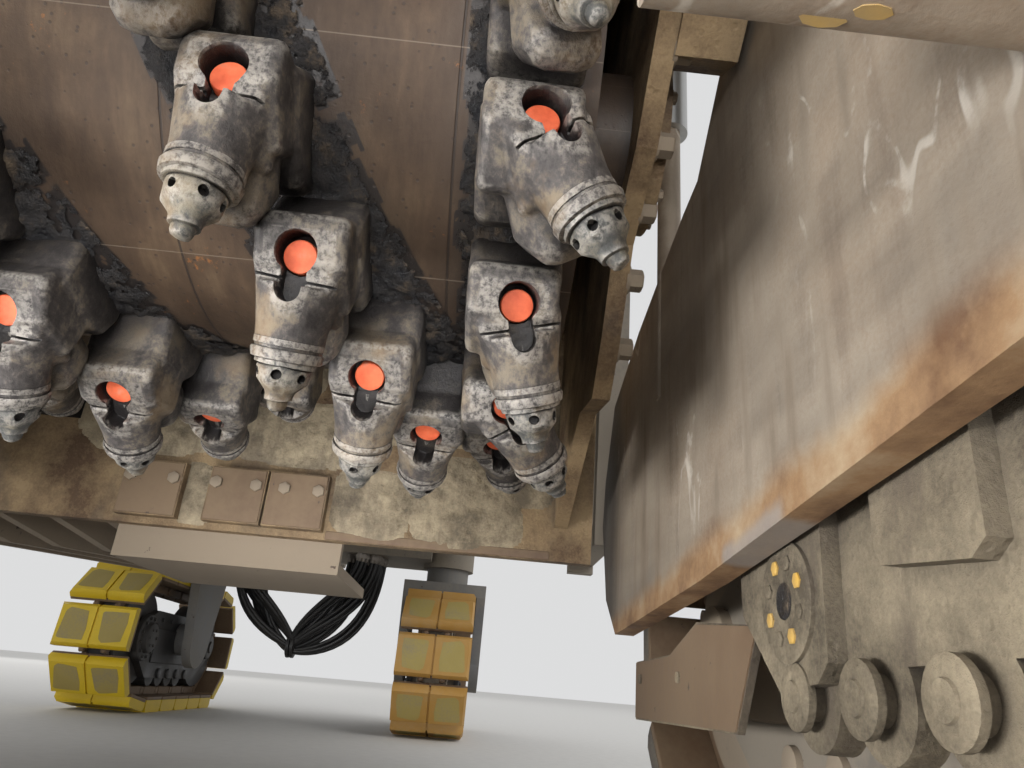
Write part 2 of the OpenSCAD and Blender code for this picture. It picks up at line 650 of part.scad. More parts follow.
// The slanted face behind the tool: x uphill along the face, z out of it
module on_face() translate([face[0], 0, face[1]]) rotate([0, -face_angle, 0]) children();
module holder_base() plate_y(-holder_w / 2, holder_w / 2) polygon(concat(
    [for (i = [-3 : 3]) (tube_r + 0.8) * [sin(half_angle * i / 3), cos(half_angle * i / 3)]],
    [[58, 350], [44, 372], [10, 376], [-60, 376], [-59, 350]]));
module holder_top() {
    plate_y(-holder_w / 2 + 3, holder_w / 2 - 3)
        polygon([[-62, 374], [face[0] - 22, face[1] - 20], [face[0] + 9, face[1] + 8], [20, 420], [8, 374]]);
    plate_y(-holder_w / 2 + 9, holder_w / 2 - 9)
        polygon([[-30, 374], [face[0] + 8, face[1] + 7], [face[0] + 28, face[1] + 25], [12, 444],
            [42, 396], [30, 374]]);
    along_tool() translate([0, 0, seat_s]) {
        cylinder(r = nose_r, h = 9, $fn = 24);
        cylinder(r1 = nose_r - 5, r2 = nose_r + 8, h = 62, $fn = 24);
    }
}
module holder(lean) difference() {
    union() {
        holder_base();
        leaning(lean) holder_top();
    }
    leaning(lean) {
        along_tool() translate([0, 0, seat_s - 1])
            cylinder(r = shank_r + gap, h = shank_s - seat_s + 5, $fn = 24);
        on_face() {
            translate([0, 0, -22]) cylinder(r = keyhole_r, h = 50, $fn = 24);
            translate([0, -slot_r, -16]) cube([slot_len, 2 * slot_r, 40]);
            translate([slot_len, 0, -16]) cylinder(r = slot_r, h = 40, $fn = 24);
        }
    }
}
// Columns: start and end along the pick from its tip, radius at each
pick_steps = [[0, 4, 5, 8], [4, 14, 8, 8], [14, 42, 13, 24], [42, seat_s, 31, 31],
    [seat_s, shank_s, shank_r, shank_r]];
module pick(lean) leaning(lean) along_tool() for (c = pick_steps)
    translate([0, 0, c[0]]) cylinder(r1 = c[2], r2 = c[3], h = c[1] - c[0], $fn = 24);
module tool(kind, lean) {
    if (kind == "holder") holder(lean);
    else pick(lean);
}

// A tool at the angle theta round the drum, turning upwards from +x, with its centre at y
module at_tool(theta, y) translate([drum_x, y, drum_z]) rotate([0, 90 - theta, 0]) rotate([0, 0, 180])
    children();
ring_y = 72;
ring_leans = [13, 30];
row_lean = -5;
ring_start = -112;
row_y = 152;
row_start = -76;
paddle_zone = 110;
function tool_theta(i) = row_start - tool_angle * i / flights + 360 / flights * (i % flights);
// Columns: end of the cut, direction inwards from it, distance of the last row from it
drum_ends = [[-cut_right, 1, cut_right + mouth_c - paddle_zone],
    [cut_left, -1, cut_left - mouth_c - paddle_zone]];
module all_tools(kind) for (e = drum_ends) {
    for (i = [0 : floor((e[2] - row_y) / line_step)])
        at_tool(tool_theta(i), e[0] + e[1] * (row_y + line_step * i)) tool(kind, e[1] * row_lean);
    for (i = [0 : ring_tools - 1])
        at_tool(ring_start + i * 360 / ring_tools, e[0] + e[1] * ring_y)
            tool(kind, e[1] * ring_leans[i % 2]);
}
module tool_holders() color("dimgray") place() all_tools("holder");
module picks() color("orangered") place() all_tools("pick");

// Side plates in their level position, held by two rods each
plate_rods = [-550, 230];
rod_r = 18;
barrel_r = 30;
plate_y0 = body_half_w + clear;
plate_l0 = wall_l + wall_t + 15;
plate_z = 900;
module plate_outline(top) polygon(concat([[-760, 332], [100, 330], [560, 345], [646, 416], [690, 560],
    [670, 640]], top));
right_top = [[585, 765], [380, 806], [106, 830], [40, 830], [-86, 921], [-300, 960], [-760, 960]];
left_top = [[585, 690], [380, 715], [-760, 715]];
module plate_bars(y) for (x = plate_rods) rod_z(rod_r, x, y, x < 0 ? 700 : 600, 1360);
module right_side_plate() color("sienna") place() mirror([0, 1, 0]) {
    plate_y(plate_y0, plate_y0 + plate_t)
        translate([0, plate_z]) rotate(-plate_droop) translate([0, -plate_z]) plate_outline(right_top);
    plate_bars(plate_y0 + plate_t / 2);
    rod_y(26, -514, 506, plate_y0 - 190, plate_y0 + 1);
    box(-560, -514, plate_y0 - 160, plate_y0 + 1, 480, 532);
}
module left_side_plate() color("sienna") place() {
    plate_y(plate_l0, plate_l0 + plate_t) plate_outline(left_top);
    plate_bars(plate_l0 + plate_t / 2);
}

// Scraper behind the drum, raised, with two lift rods
scraper_x = back_x - 15;
scraper_z0 = 960;
scraper_z1 = 1400;
scraper_rod_x = -690;
scraper_rod_y = 330;
module scraper() color("tan") place() {
    box(scraper_x - 25, scraper_x, wall_r + clear, wall_l - clear, scraper_z0, scraper_z1);
    for (z = [scraper_z0, scraper_z0 + 200, scraper_z1 - 30])
        box(scraper_x - 60, scraper_x - 25, wall_r + 40, wall_l - 40, z, z + 30);
    for (y = [-scraper_rod_y, scraper_rod_y]) {
        box(scraper_rod_x - 30, scraper_x - 59, y - 30, y + 30, scraper_z0, scraper_z0 + 30);
        rod_z(rod_r, scraper_rod_x, y, scraper_z0 + 29, 1600);
    }
}

// Barrels of the side plates' and the scraper's lift cylinders
module barrel(x, y, z0, z1) difference() {
    rod_z(barrel_r, x, y, z0, z1);
    rod_z(rod_r + run_fit, x, y, z0 - 1, z1 - 10);
}
module lift_cylinders() color("silver") place() {
    for (x = plate_rods) {
        barrel(x, -plate_y0 - plate_t / 2, 1075, beam_z0 - 15);
        box(x - 40, x + 40, -plate_y0 - plate_t / 2 - barrel_r, -cover_out, beam_z0 - 15, beam_z0 + 15);
        barrel(x, plate_l0 + plate_t / 2, 1000, beam_z0);
    }
    for (s = [-1, 1]) on_side(s) {
        barrel(scraper_rod_x, scraper_rod_y, 1060, 1680);
        box(scraper_rod_x - 20, scraper_rod_x + 20, scraper_rod_y + barrel_r - 2, beam_y0, 1500, 1560);
    }
}

// Engine hood with its louvres, and side doors, with their hinge knuckles
louvre_depth = 15;
module engine_hood() color("white") place() difference() {
    union() {
        plate_y(-body_half_w, body_half_w) polygon([[rear_wall_x, hood_z0 + gap],
            [fire_wall_x - 10, hood_z0 + gap], [fire_wall_x - 10, hood_z0 + hood_h],
            [rear_wall_x + 90, hood_z0 + hood_h], [rear_wall_x, hood_z0 + 15]]);
        for (y = hood_hinge_ys) {
            rod_y(hinge_r, hood_hinge_x, hood_hinge_z, y, y + 60);
            box(hood_hinge_x - 60, hood_hinge_x - 2, y, y + 60, hood_z0 + hood_h - 1, hood_hinge_z + 4);
        }
    }
    for (y = hood_hinge_ys) rod_y(hinge_pin_r + run_fit, hood_hinge_x, hood_hinge_z, y - 1, y + 61);
    for (i = [0 : 8]) box(-1480 + i * 60, -1450 + i * 60, -420, 420, hood_z0 + hood_h - louvre_depth,
        hood_z0 + hood_h + 1);
}
module door(s) color("white") place() on_side(s) difference() {
    union() {
        box(door_x0 + clear, door_x1 - clear, body_half_w - panel_t, body_half_w, door_z0 + clear,
            door_z1 - clear);
        for (z = hinge_zs) {
            rod_z(hinge_r, hinge_x, hinge_y, z, z + 60);
            box(hinge_x - 80, hinge_x - 4, body_half_w - 1, hinge_y + 4, z, z + 60);
        }
    }
    for (z = hinge_zs) rod_z(hinge_pin_r + run_fit, hinge_x, hinge_y, z - 1, z + 61);
}

// Hydraulic hoses hanging in loops below the front cross box, each in its own plane
hose_r = 14;
hose_sides = 8;
hose_rings = 12;
// Columns: x from the front leg axes, left end, right end, how far the control points hang down
hose_loops = [[-175, 300, -250, 330], [-145, 250, -310, 430], [-115, 330, -200, 520], [-85, 220, -330, 620],
    [-55, 340, -280, 390], [-25, 280, -230, 560]];
function bezier(p, t) = pow(1 - t, 3) * p[0] + 3 * t * pow(1 - t, 2) * p[1]
    + 3 * t * t * (1 - t) * p[2] + pow(t, 3) * p[3];
function unit(v) = v / norm(v);
function ring(c, t, r, n) = [for (k = [0 : n - 1])
    c + r * (cos(360 * k / n) * [1, 0, 0] + sin(360 * k / n) * cross(t, [1, 0, 0]))];
module tube(p, r) {
    n = hose_sides;
    m = hose_rings;
    rings = [for (i = [0 : m]) ring(bezier(p, i / m), i == 0 || i == m ? [0, 0, i == 0 ? -1 : 1]
        : unit(bezier(p, (i + 0.5) / m) - bezier(p, (i - 0.5) / m)), r, n)];
    polyhedron([for (q = rings) each q], concat([[for (k = [0 : n - 1]) k]],
        [for (i = [0 : m - 1]) for (k = [0 : n - 1])
            [i * n + k, (i + 1) * n + k, (i + 1) * n + (k + 1) % n, i * n + (k + 1) % n]],
        [[for (k = [n - 1 : -1 : 0]) m * n + k]]));
}
module hoses() color("black") place() translate([wheelbase, 0, 0]) for (h = hose_loops)
    tube([[h[0], h[1], cross_z0], [h[0], h[1], cross_z0 - h[3]],
        [h[0], h[2], cross_z0 - h[3]], [h[0], h[2], cross_z0]], hose_r);

module lamps() color("gold") place() both_sides() {
    box(rear_x + 5, rear_x + 65, 830, 950, beam_z1 + gap, beam_z1 + 90);
    box(hood_front_x, hood_front_x + 60, 700, 860, beam_z1 + 10, beam_z1 + 90);
}

main_frame();
drum_housing();
inlet_shoe();
drum_drive_cover();
engine_block();
rear_body();
radiator_grille();
exhaust();
platform();
guard_rails();
consoles();
seats();
canopy();
ladders();
side_covers();
front_body();
primary_conveyor();
primary_belt();
lift_cylinders();
hoses();
lamps();
rear_leg(1);  // rear_left_leg
track(0, 1, "black");  // rear_left_track
frame_of_track(0, 1);  // rear_left_track_frame
rollers_of_track(0, 1);  // rear_left_rollers
rear_leg(-1);  // rear_right_leg
track(0, -1, "black");  // rear_right_track
frame_of_track(0, -1);  // rear_right_track_frame
rollers_of_track(0, -1);  // rear_right_rollers
front_leg(1);  // front_left_leg
track(1, 1, "gold");  // front_left_track
frame_of_track(1, 1);  // front_left_track_frame
rollers_of_track(1, 1);  // front_left_rollers
front_leg(-1);  // front_right_leg
track(1, -1, "orange");  // front_right_track
frame_of_track(1, -1);  // front_right_track_frame
rollers_of_track(1, -1);  // front_right_rollers
drum_tube();
tool_holders();
picks();
right_side_plate();
left_side_plate();
scraper();
engine_hood();
door(1);  // left_door
door(-1);  // right_door
slew_frame();
lower_conveyor();
lower_belt();
upper_conveyor();
upper_belt();
lift_barrel();
lift_rod();
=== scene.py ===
# %% [markdown]
# A cold planer, seen from underneath
#
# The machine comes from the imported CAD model. It is already at its real size and place, so this
# script adds what CAD leaves out: the finish of every surface, the cast shapes of the tool holders,
# the small hardware, and a plain studio. All lengths are in metres.

# %% Load the machine
import json
import math
import random

import bmesh
import bpy
import numpy as np
from mathutils import Matrix, Vector, noise


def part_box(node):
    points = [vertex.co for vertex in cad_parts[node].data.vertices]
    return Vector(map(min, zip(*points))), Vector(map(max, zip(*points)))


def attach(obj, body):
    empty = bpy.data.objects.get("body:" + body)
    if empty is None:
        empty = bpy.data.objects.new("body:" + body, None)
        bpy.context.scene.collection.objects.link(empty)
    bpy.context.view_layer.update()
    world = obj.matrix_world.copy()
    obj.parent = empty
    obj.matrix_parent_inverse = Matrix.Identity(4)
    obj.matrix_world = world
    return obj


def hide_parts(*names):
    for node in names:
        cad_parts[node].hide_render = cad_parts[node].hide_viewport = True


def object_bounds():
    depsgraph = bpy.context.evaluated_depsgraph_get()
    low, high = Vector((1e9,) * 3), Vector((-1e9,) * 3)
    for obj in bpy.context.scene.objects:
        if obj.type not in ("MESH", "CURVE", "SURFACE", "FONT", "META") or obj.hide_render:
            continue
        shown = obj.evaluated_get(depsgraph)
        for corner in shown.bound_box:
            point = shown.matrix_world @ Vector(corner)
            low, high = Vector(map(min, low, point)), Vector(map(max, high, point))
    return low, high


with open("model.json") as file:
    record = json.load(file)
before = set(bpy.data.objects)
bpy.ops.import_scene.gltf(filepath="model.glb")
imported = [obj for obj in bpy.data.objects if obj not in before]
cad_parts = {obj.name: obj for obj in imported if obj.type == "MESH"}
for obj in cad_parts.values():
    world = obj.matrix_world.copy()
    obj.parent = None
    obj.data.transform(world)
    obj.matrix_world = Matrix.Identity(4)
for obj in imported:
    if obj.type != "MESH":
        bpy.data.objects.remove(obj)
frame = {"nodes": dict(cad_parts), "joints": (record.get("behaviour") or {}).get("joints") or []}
cad_lo, cad_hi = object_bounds()
mm = 0.001
print("machine is", [round(v, 3) for v in cad_hi - cad_lo], "m")

# %% [markdown]
# Everything hangs on a few places: the axis of the drum, the middle of the rear crawlers and the
# joints. They are read from the model, so the pieces below follow it when a size changes there.

# %% Places on the machine
joints = {j["name"]: j for j in frame["joints"]}
drum_axis = Vector(joints["drum_spin"]["pos_m"])
tube_r = 320


def centre(node):
    lo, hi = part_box(node)
    return (lo + hi) / 2


rear_crawler = centre("rear_right_track")
print("drum axis", [round(v, 3) for v in drum_axis])

# %% [markdown]
# The camera stands at the height of a hand just behind the drum and looks forwards and up. A phone
# held there leans a little, so the horizon drops to the right. The focal length is given in pixels
# of a picture that is 1024 pixels wide.

# %% Camera
picture_width = 1024
focal_pixels = 740
sensor_width = 36
behind_crawler = 0.735
eye = Vector((rear_crawler.x - behind_crawler, -0.765, 0.20))
turned_right, tilted_up, rolled = 1.8, 22.5, 5.0


def aim(right_deg, up_deg, roll_deg):
    """A rotation that looks along +X, turned to the right and up, then rolled about the view."""
    turn, rise, roll = (math.radians(a) for a in (right_deg, up_deg, roll_deg))
    ahead, aside = math.cos(turn), -math.sin(turn)
    forward = Vector((math.cos(rise) * ahead, math.cos(rise) * aside, math.sin(rise)))
    level = Vector((-math.sin(turn), -math.cos(turn), 0))
    upward = level.cross(forward)
    right = math.cos(roll) * level + math.sin(roll) * upward
    up = math.cos(roll) * upward - math.sin(roll) * level
    return Matrix((right, up, -forward)).transposed()


def make_camera():
    data = bpy.data.cameras.new("camera")
    data.sensor_width = sensor_width
    data.lens = focal_pixels * sensor_width / picture_width
    data.clip_start = 0.01
    data.clip_end = 200
    camera = bpy.data.objects.new("camera", data)
    bpy.context.scene.collection.objects.link(camera)
    camera.matrix_world = Matrix.Translation(eye) @ aim(turned_right, tilted_up, rolled).to_4x4()
    bpy.context.scene.camera = camera
    print("camera at", [round(v, 3) for v in eye])


make_camera()

# %% [markdown]
# A material is a small program of nodes. To keep it readable, one class wraps a node's output and
# gives it plus, minus, times and divide, so a mask can be written as a sum. Colours and vectors are
# mixed with Mix and Vector Math, because Math nodes work on single numbers only.

# %% Sockets that can be added and multiplied
class Sock:
    """One output of a node in a material's tree."""

    def __init__(self, tree, out):
        self.tree = tree
        self.out = out

    def node(self, kind, settings=None, values=None, out=0):
        """Adds a node: its settings first, then the values or links of its sockets."""
        made = self.tree.nodes.new(kind)
        for name, value in (settings or {}).items():
            if name == "stops":
                set_ramp(made.color_ramp, value)
            else:
                setattr(made, name, value)
        for name, value in (values or {}).items():
            if isinstance(value, Sock):
                self.tree.links.new(value.out, made.inputs[name])
            else:
                made.inputs[name].default_value = value
        return Sock(self.tree, made.outputs[out])

    def math(self, operation, a, b):
        return self.node("ShaderNodeMath", {"operation": operation}, {0: a, 1: b})

    def alone(self, operation):
        """Maths that takes one value only, such as ABSOLUTE."""
        return self.node("ShaderNodeMath", {"operation": operation}, {0: self})

    def __add__(self, other):
        return self.math("ADD", self, other)

    def __radd__(self, other):
        return self.math("ADD", other, self)

    def __sub__(self, other):
        return self.math("SUBTRACT", self, other)

    def __rsub__(self, other):
        return self.math("SUBTRACT", other, self)

    def __mul__(self, other):
        return self.math("MULTIPLY", self, other)

    def __rmul__(self, other):
        return self.math("MULTIPLY", other, self)

    def __truediv__(self, other):
        return self.math("DIVIDE", self, other)

    def __rtruediv__(self, other):
        return self.math("DIVIDE", other, self)

    def __pow__(self, other):
        return self.math("POWER", self, other)

    def step(self, low, high):
        """0 below low, 1 above high, and a soft rise between them."""
        settings = {"interpolation_type": "SMOOTHSTEP"}
        values = {"Value": self, "From Min": low, "From Max": high}
        return self.node("ShaderNodeMapRange", settings, values)

    def mix(self, other, share):
        """This colour where share is 0, the other, a ramp or three numbers, where it is 1."""
        settings = {"data_type": "RGBA"}
        other = other if isinstance(other, Sock) else (*other, 1)
        return self.node("ShaderNodeMix", settings, {"Factor": share, 6: self, 7: other}, out=2)

    def stretch(self, x, y, z):
        """These coordinates, scaled along each axis."""
        settings = {"operation": "MULTIPLY"}
        return self.node("ShaderNodeVectorMath", settings, {0: self, 1: (x, y, z)})

    def noise(self, scale, detail=4.0, rough=0.55):
        values = {"Vector": self, "Scale": scale, "Detail": detail, "Roughness": rough}
        return self.node("ShaderNodeTexNoise", None, values)

    def cells(self, scale, feature="F1"):
        return self.node("ShaderNodeTexVoronoi", {"feature": feature}, {"Vector": self, "Scale": scale})

    def axis(self, name):
        return self.node("ShaderNodeSeparateXYZ", None, {0: self}, out="XYZ".index(name))


def set_ramp(ramp, stops):
    """Stops are pairs of a place from 0 to 1 and a colour."""
    while len(ramp.elements) < len(stops):
        ramp.elements.new(1.0)
    for element, (place, colour) in zip(ramp.elements, stops):
        element.position = place
        element.color = (*colour, 1)


# %% [markdown]
# A finish starts with an empty tree, its shader and the coordinates of the object. The coordinates
# are in metres and ride along with a piece when it moves, so the grain keeps its size everywhere.

# %% Start and end of a finish
def start(name, metallic=0.0, specular=0.5):
    """A new material: returns it and the coordinates of the object."""
    material = bpy.data.materials.new(name)
    material.use_nodes = True
    tree = material.node_tree
    shader = tree.nodes["Principled BSDF"]
    shader.inputs["Metallic"].default_value = metallic
    shader.inputs["Specular IOR Level"].default_value = specular
    coords = tree.nodes.new("ShaderNodeTexCoord")
    return material, Sock(tree, coords.outputs["Object"])


def end(material, colour, rough, height=None, relief=0.001, strength=0.6):
    """Feeds the shader: colour, roughness, and a height that is turned into bumps."""
    tree = material.node_tree
    shader = tree.nodes["Principled BSDF"]
    tree.links.new(colour.out, shader.inputs["Base Color"])
    if isinstance(rough, Sock):
        tree.links.new(rough.out, shader.inputs["Roughness"])
    else:
        shader.inputs["Roughness"].default_value = rough
    if height is not None:
        values = {"Height": height, "Distance": relief, "Strength": strength}
        tree.links.new(height.node("ShaderNodeBump", None, values).out, shader.inputs["Normal"])
    return material


def ramp(value, *stops):
    return value.node("ShaderNodeValToRGB", {"stops": stops}, {"Fac": value})


def crevice(coords, reach):
    """1 in corners and joints, 0 on open faces. It is ambient occlusion, so what it darkens is painted
    shade.
    """
    settings = {"samples": 2}
    occluded = coords.node("ShaderNodeAmbientOcclusion", settings, {"Distance": reach}, out=1)
    return 1 - occluded


def edge(coords):
    """1 along the edges of a casting, where dust rubs off first."""
    return coords.node("ShaderNodeNewGeometry", None, None, out="Pointiness").step(0.51, 0.55)


# %% [markdown]
# Steel that mills asphalt is never clean. The holders are scraped grey on what sticks out and keep
# dark grease in every corner, with painted shade that makes the corners darker still. Three noises of
# different size break the grey up, the crevice mask brings the grease and the painted shade, and the
# edge mask brings the bright rub marks. The colours of what sticks to steel get names, because the
# pieces around the drum share them.

# %% Finish of the tool holders
brown_film = (0.25, 0.165, 0.085)
# Black grease, which also carries the painted shade in the holders' corners.
black_grease_and_shade = (0.014, 0.012, 0.012)
rubbed_steel = (0.40, 0.37, 0.33)


def holder_steel(name, dark, mid, pale, crust):
    material, coords = start(name, metallic=0.3)
    large = coords.noise(11, 5, 0.62)
    patch = coords.stretch(1, 1.3, 1).noise(27, 5, 0.7)
    fine = coords.noise(170, 5, 0.72)
    # The grease mask is grease where the noises are high and painted shade where the crevice mask is high.
    grease_and_shade = crevice(coords, 0.045) * 1.7 + (large - 0.5) * 1.4 + (patch - 0.5) * 0.7
    grease_and_shade = grease_and_shade.step(0.30, 0.74)
    rubbed = edge(coords) * fine.step(0.35, 0.6)
    dust = (large * 0.35 + patch * 0.5 + fine * 0.35).step(0.56, 0.72)
    tone = ramp(patch * 0.5 + large * 0.3 + fine * 0.2, (0.38, dark), (0.5, mid), (0.62, pale))
    tone = tone.mix(brown_film, large.step(0.52, 0.66) * 0.6)
    tone = tone.mix(crust, dust * 0.6)
    tone = tone.mix(black_grease_and_shade, grease_and_shade * 0.96)
    tone = tone.mix(rubbed_steel, rubbed * 0.6)
    rough = 0.6 - grease_and_shade * 0.24 - rubbed * 0.12 + fine * 0.14 + dust * 0.15
    height = large * 0.4 + patch * 0.7 + fine * 0.5
    return end(material, tone, rough, height, relief=0.0024, strength=0.8)


# %% [markdown]
# One more finish per kind of surface follows. Each is a short function, so that a reader can see on
# one screen what makes dusty paint different from rust or rubber. The lower a painted surface is on
# the machine, the more dust lies on it.

# %% Painted and dusty metal
# Dirt in the corners of paint, together with painted shade there.
dirt_and_shade_in_corners = (0.035, 0.03, 0.026)
chipped_paint = (0.09, 0.065, 0.05)


def painted(name, colour, dust, dust_share, gloss):
    """Paint with dust lying on it, a few chips, and dirt and painted shade in the corners."""
    material, coords = start(name)
    large = coords.noise(2.2, 6, 0.6)
    fine = coords.noise(90, 4, 0.6)
    low = 1 - (coords.axis("Z") + (large - 0.5) * 1.2).step(0.5, 2.1)
    streaks = coords.stretch(1, 1, 0.08).noise(14, 5, 0.6)
    dusty = large * 0.55 + streaks * 0.25 + fine * 0.2 + low * 0.22
    dusty = dusty.step(0.62 - 0.3 * dust_share, 0.92 - 0.3 * dust_share)
    # Corners: dirt from the noise and painted shade from the crevice mask.
    corners = (crevice(coords, 0.06) + (large - 0.5) * 0.5).step(0.45, 0.95)
    chips = coords.noise(38, 4, 0.7).step(0.67, 0.70)
    tone = ramp(large, (0.3, tuple(c * 0.88 for c in colour)), (0.7, colour))
    share = low.math("MINIMUM", dust_share + low * 0.35, 1.0)
    tone = tone.mix(dust, dusty * share)
    tone = tone.mix(dirt_and_shade_in_corners, corners * 0.5)
    tone = tone.mix(chipped_paint, chips)
    rough = gloss + dusty * 0.35 + corners * 0.1 + fine * 0.06
    return end(material, tone, rough, fine + chips * -1.5, relief=0.0006, strength=0.45)


# %% [markdown]
# Ground steel and rubber need fewer layers: a grain and a large noise for the steel, and for rubber
# the dust that settles on it.

# %% Bare steel and rubber
def bare_steel(name, colour, rough, streaks=(1.0, 1.0, 1.0)):
    """Ground or turned steel with a faint grain along one direction."""
    material, coords = start(name, metallic=0.9)
    grain = coords.stretch(*streaks).noise(120, 5, 0.6)
    large = coords.noise(5, 4, 0.6)
    tone = ramp(large * 0.6 + grain * 0.4, (0.3, tuple(c * 0.7 for c in colour)), (0.7, colour))
    rough = rough + grain * 0.18 + large * 0.08
    return end(material, tone, rough, grain, relief=0.0004, strength=0.4)


def rubber(name, colour, dust, dust_share, rough):
    material, coords = start(name)
    large = coords.noise(5, 6, 0.6)
    fine = coords.noise(140, 4, 0.65)
    dusty = (large * 0.7 + fine * 0.3).step(0.45, 0.72)
    tone = ramp(large, (0.3, tuple(c * 0.75 for c in colour)), (0.7, colour))
    tone = tone.mix(dust, dusty * dust_share)
    return end(material, tone, rough + dusty * 0.2, fine, relief=0.0008, strength=0.5)


# %% [markdown]
# The side plate slides along the ground, so it is scraped bright in long strokes, with a darker,
# rusty strip along its lower edge. The strokes run nearly upright on the photo's side: a noise that
# is stretched a lot along z gives them.

# %% Scraped plate steel
plate_droop = math.radians(5)
plate_pivot_z = 0.9
plate_low_edge = 0.331


def plate_steel(name, droop):
    material, coords = start(name, metallic=0.4)
    strokes = coords.stretch(1.0, 1.0, 0.10).noise(24, 7, 0.62)
    across = coords.stretch(0.12, 1.0, 1.0).noise(16, 6, 0.6)
    large = coords.noise(2.6, 5, 0.55)
    fine = coords.noise(220, 4, 0.7)
    blotch = coords.noise(9, 7, 0.65)
    ahead = coords.axis("X") - rear_crawler.x
    level = (coords.axis("Z") - plate_pivot_z) * math.cos(droop) + ahead * math.sin(droop)
    level = level + plate_pivot_z
    above = level - plate_low_edge + (blotch - 0.5) * 0.05
    strip = 1 - above.step(0.02, 0.055)
    rusty = (large * 0.7 + strokes * 0.5 + fine * 0.2).step(0.68, 0.9)
    smear = (strokes * 0.7 + across * 0.5).step(0.55, 0.78)
    front = (ahead + (blotch - 0.5) * 0.12).step(0.44, 0.56)
    tone = ramp(strokes * 0.5 + large * 0.3 + blotch * 0.2, (0.36, (0.19, 0.145, 0.105)),
                (0.5, (0.36, 0.30, 0.235)), (0.64, (0.52, 0.455, 0.37)))
    tone = tone.mix((0.26, 0.15, 0.075), rusty * 0.45)
    tone = tone.mix((0.085, 0.07, 0.06), smear * 0.5)
    tone = tone.mix((0.045, 0.04, 0.037), front * 0.8)
    rust = ramp(blotch, (0.35, (0.16, 0.075, 0.032)), (0.5, (0.36, 0.21, 0.10)),
                (0.65, (0.50, 0.37, 0.23)))
    tone = tone.mix(rust, strip * 0.85)
    # A pale band on part of the lower rim: steel worn bright, with a painted reflection along that edge.
    ragged = ahead + (blotch - 0.5) * 0.06
    rim = 1 - (level - plate_low_edge + (blotch - 0.5) * 0.04).step(0.006, 0.022)
    worn = ragged.step(-0.18, -0.16) * (1 - ragged.step(-0.035, -0.015)) * rim
    tone = tone.mix((0.36, 0.335, 0.31), worn * 0.7)
    veins = (coords.stretch(1, 1, 0.35).noise(7, 3, 0.5) - 0.5).alone("ABSOLUTE")
    gouges = (1 - veins.step(0.003, 0.010)) * blotch.step(0.5, 0.6) * large.step(0.5, 0.6)
    tone = tone.mix((0.75, 0.70, 0.62), gouges * 0.6)
    rough = 0.5 + rusty * 0.25 + fine * 0.1 - smear * 0.12 + strip * 0.15
    height = strokes * 0.5 + fine * 0.3 + blotch * 0.7
    return end(material, tone, rough, height, relief=0.0015, strength=0.7)


# %% [markdown]
# The drum tube is a brown, dusty cylinder that the milled stone keeps almost smooth. Grease and
# asphalt stick along the flights of tools, and painted shade darkens the tube next to them; the tube
# itself shows faint plate joints round it.

# %% Drum tube
plates_round = 9
ring_width = 0.27


def drum_steel():
    material, coords = start("drum_steel", metallic=0.2)
    large = coords.noise(5, 6, 0.6)
    fine = coords.noise(190, 5, 0.7)
    rub = coords.stretch(0.25, 1, 0.25).noise(55, 5, 0.65)
    pits = coords.cells(95).step(0.10, 0.2)
    up = coords.axis("Z") - drum_axis.z
    ahead = coords.axis("X") - drum_axis.x
    angle = up.math("ARCTAN2", up, ahead)
    plates = (angle / (2 * math.pi) * plates_round + 0.3).alone("FRACT")
    rings = (coords.axis("Y") / ring_width + 0.13).alone("FRACT")
    seam = (1 - (plates - 0.5).alone("ABSOLUTE").step(0.001, 0.004)) * 0.45
    groove = 1 - (rings - 0.5).alone("ABSOLUTE").step(0.0025, 0.006)
    # Grease from the noises, and painted shade where the crevice mask finds the holders and crusts.
    grease_and_shade = crevice(coords, 0.06) * 1.5 + (large - 0.5) * 1.2 + (rub - 0.5) * 0.7
    grease_and_shade = grease_and_shade.step(0.5, 0.86)
    tone = ramp(large * 0.7 + rub * 0.3, (0.36, (0.045, 0.027, 0.017)), (0.5, (0.085, 0.053, 0.032)),
                (0.62, (0.15, 0.10, 0.058)))
    tone = tone.mix((0.30, 0.115, 0.03), coords.noise(17, 7, 0.75).step(0.62, 0.68) * 0.7)
    tone = tone.mix((0.02, 0.018, 0.018), grease_and_shade * 0.9)
    tone = tone.mix((0.05, 0.035, 0.028), (1 - pits) * 0.7)
    tone = tone.mix((0.03, 0.022, 0.018), groove * 0.8)
    tone = tone.mix((0.26, 0.21, 0.16), seam)
    rough = 0.58 - grease_and_shade * 0.2 + fine * 0.14
    height = fine * 0.8 + large * 0.6 + pits * 0.4 + rub * 0.5 - groove * 1.2
    return end(material, tone, rough, height, relief=0.0011, strength=0.6)


# %% [markdown]
# Milled dust and splashed binder bake onto the housing like a coat of rough plaster. Three sizes of
# noise, from lumps to grit, make it stand out from the smooth paint elsewhere.

# %% Caked dust
def caked(name, dark, pale, lump, oil_and_shade, reach):
    material, coords = start(name)
    lumps = coords.noise(lump, 6, 0.68)
    grit = coords.noise(240, 4, 0.75)
    spots = coords.cells(70).step(0.1, 0.35)
    # Corners: oil, and painted shade from the crevice mask, both scaled by the share of oil; the runs below
    # get oil only.
    corners = (crevice(coords, reach) + (lumps - 0.5) * 0.8).step(0.3, 0.85)
    middle = tuple((a + b) / 2 for a, b in zip(dark, pale))
    runs = coords.stretch(1, 1, 0.3).noise(7, 6, 0.65).step(0.52, 0.62)
    tone = ramp(lumps * 0.8 + grit * 0.2, (0.39, dark), (0.5, middle), (0.61, pale))
    tone = tone.mix((0.05, 0.04, 0.032), corners * oil_and_shade)
    tone = tone.mix((0.09, 0.07, 0.052), runs * oil_and_shade * 0.8)
    height = lumps + grit * 0.5 + spots * 0.25
    return end(material, tone, 0.82 - grit * 0.1, height, relief=0.004, strength=0.8)


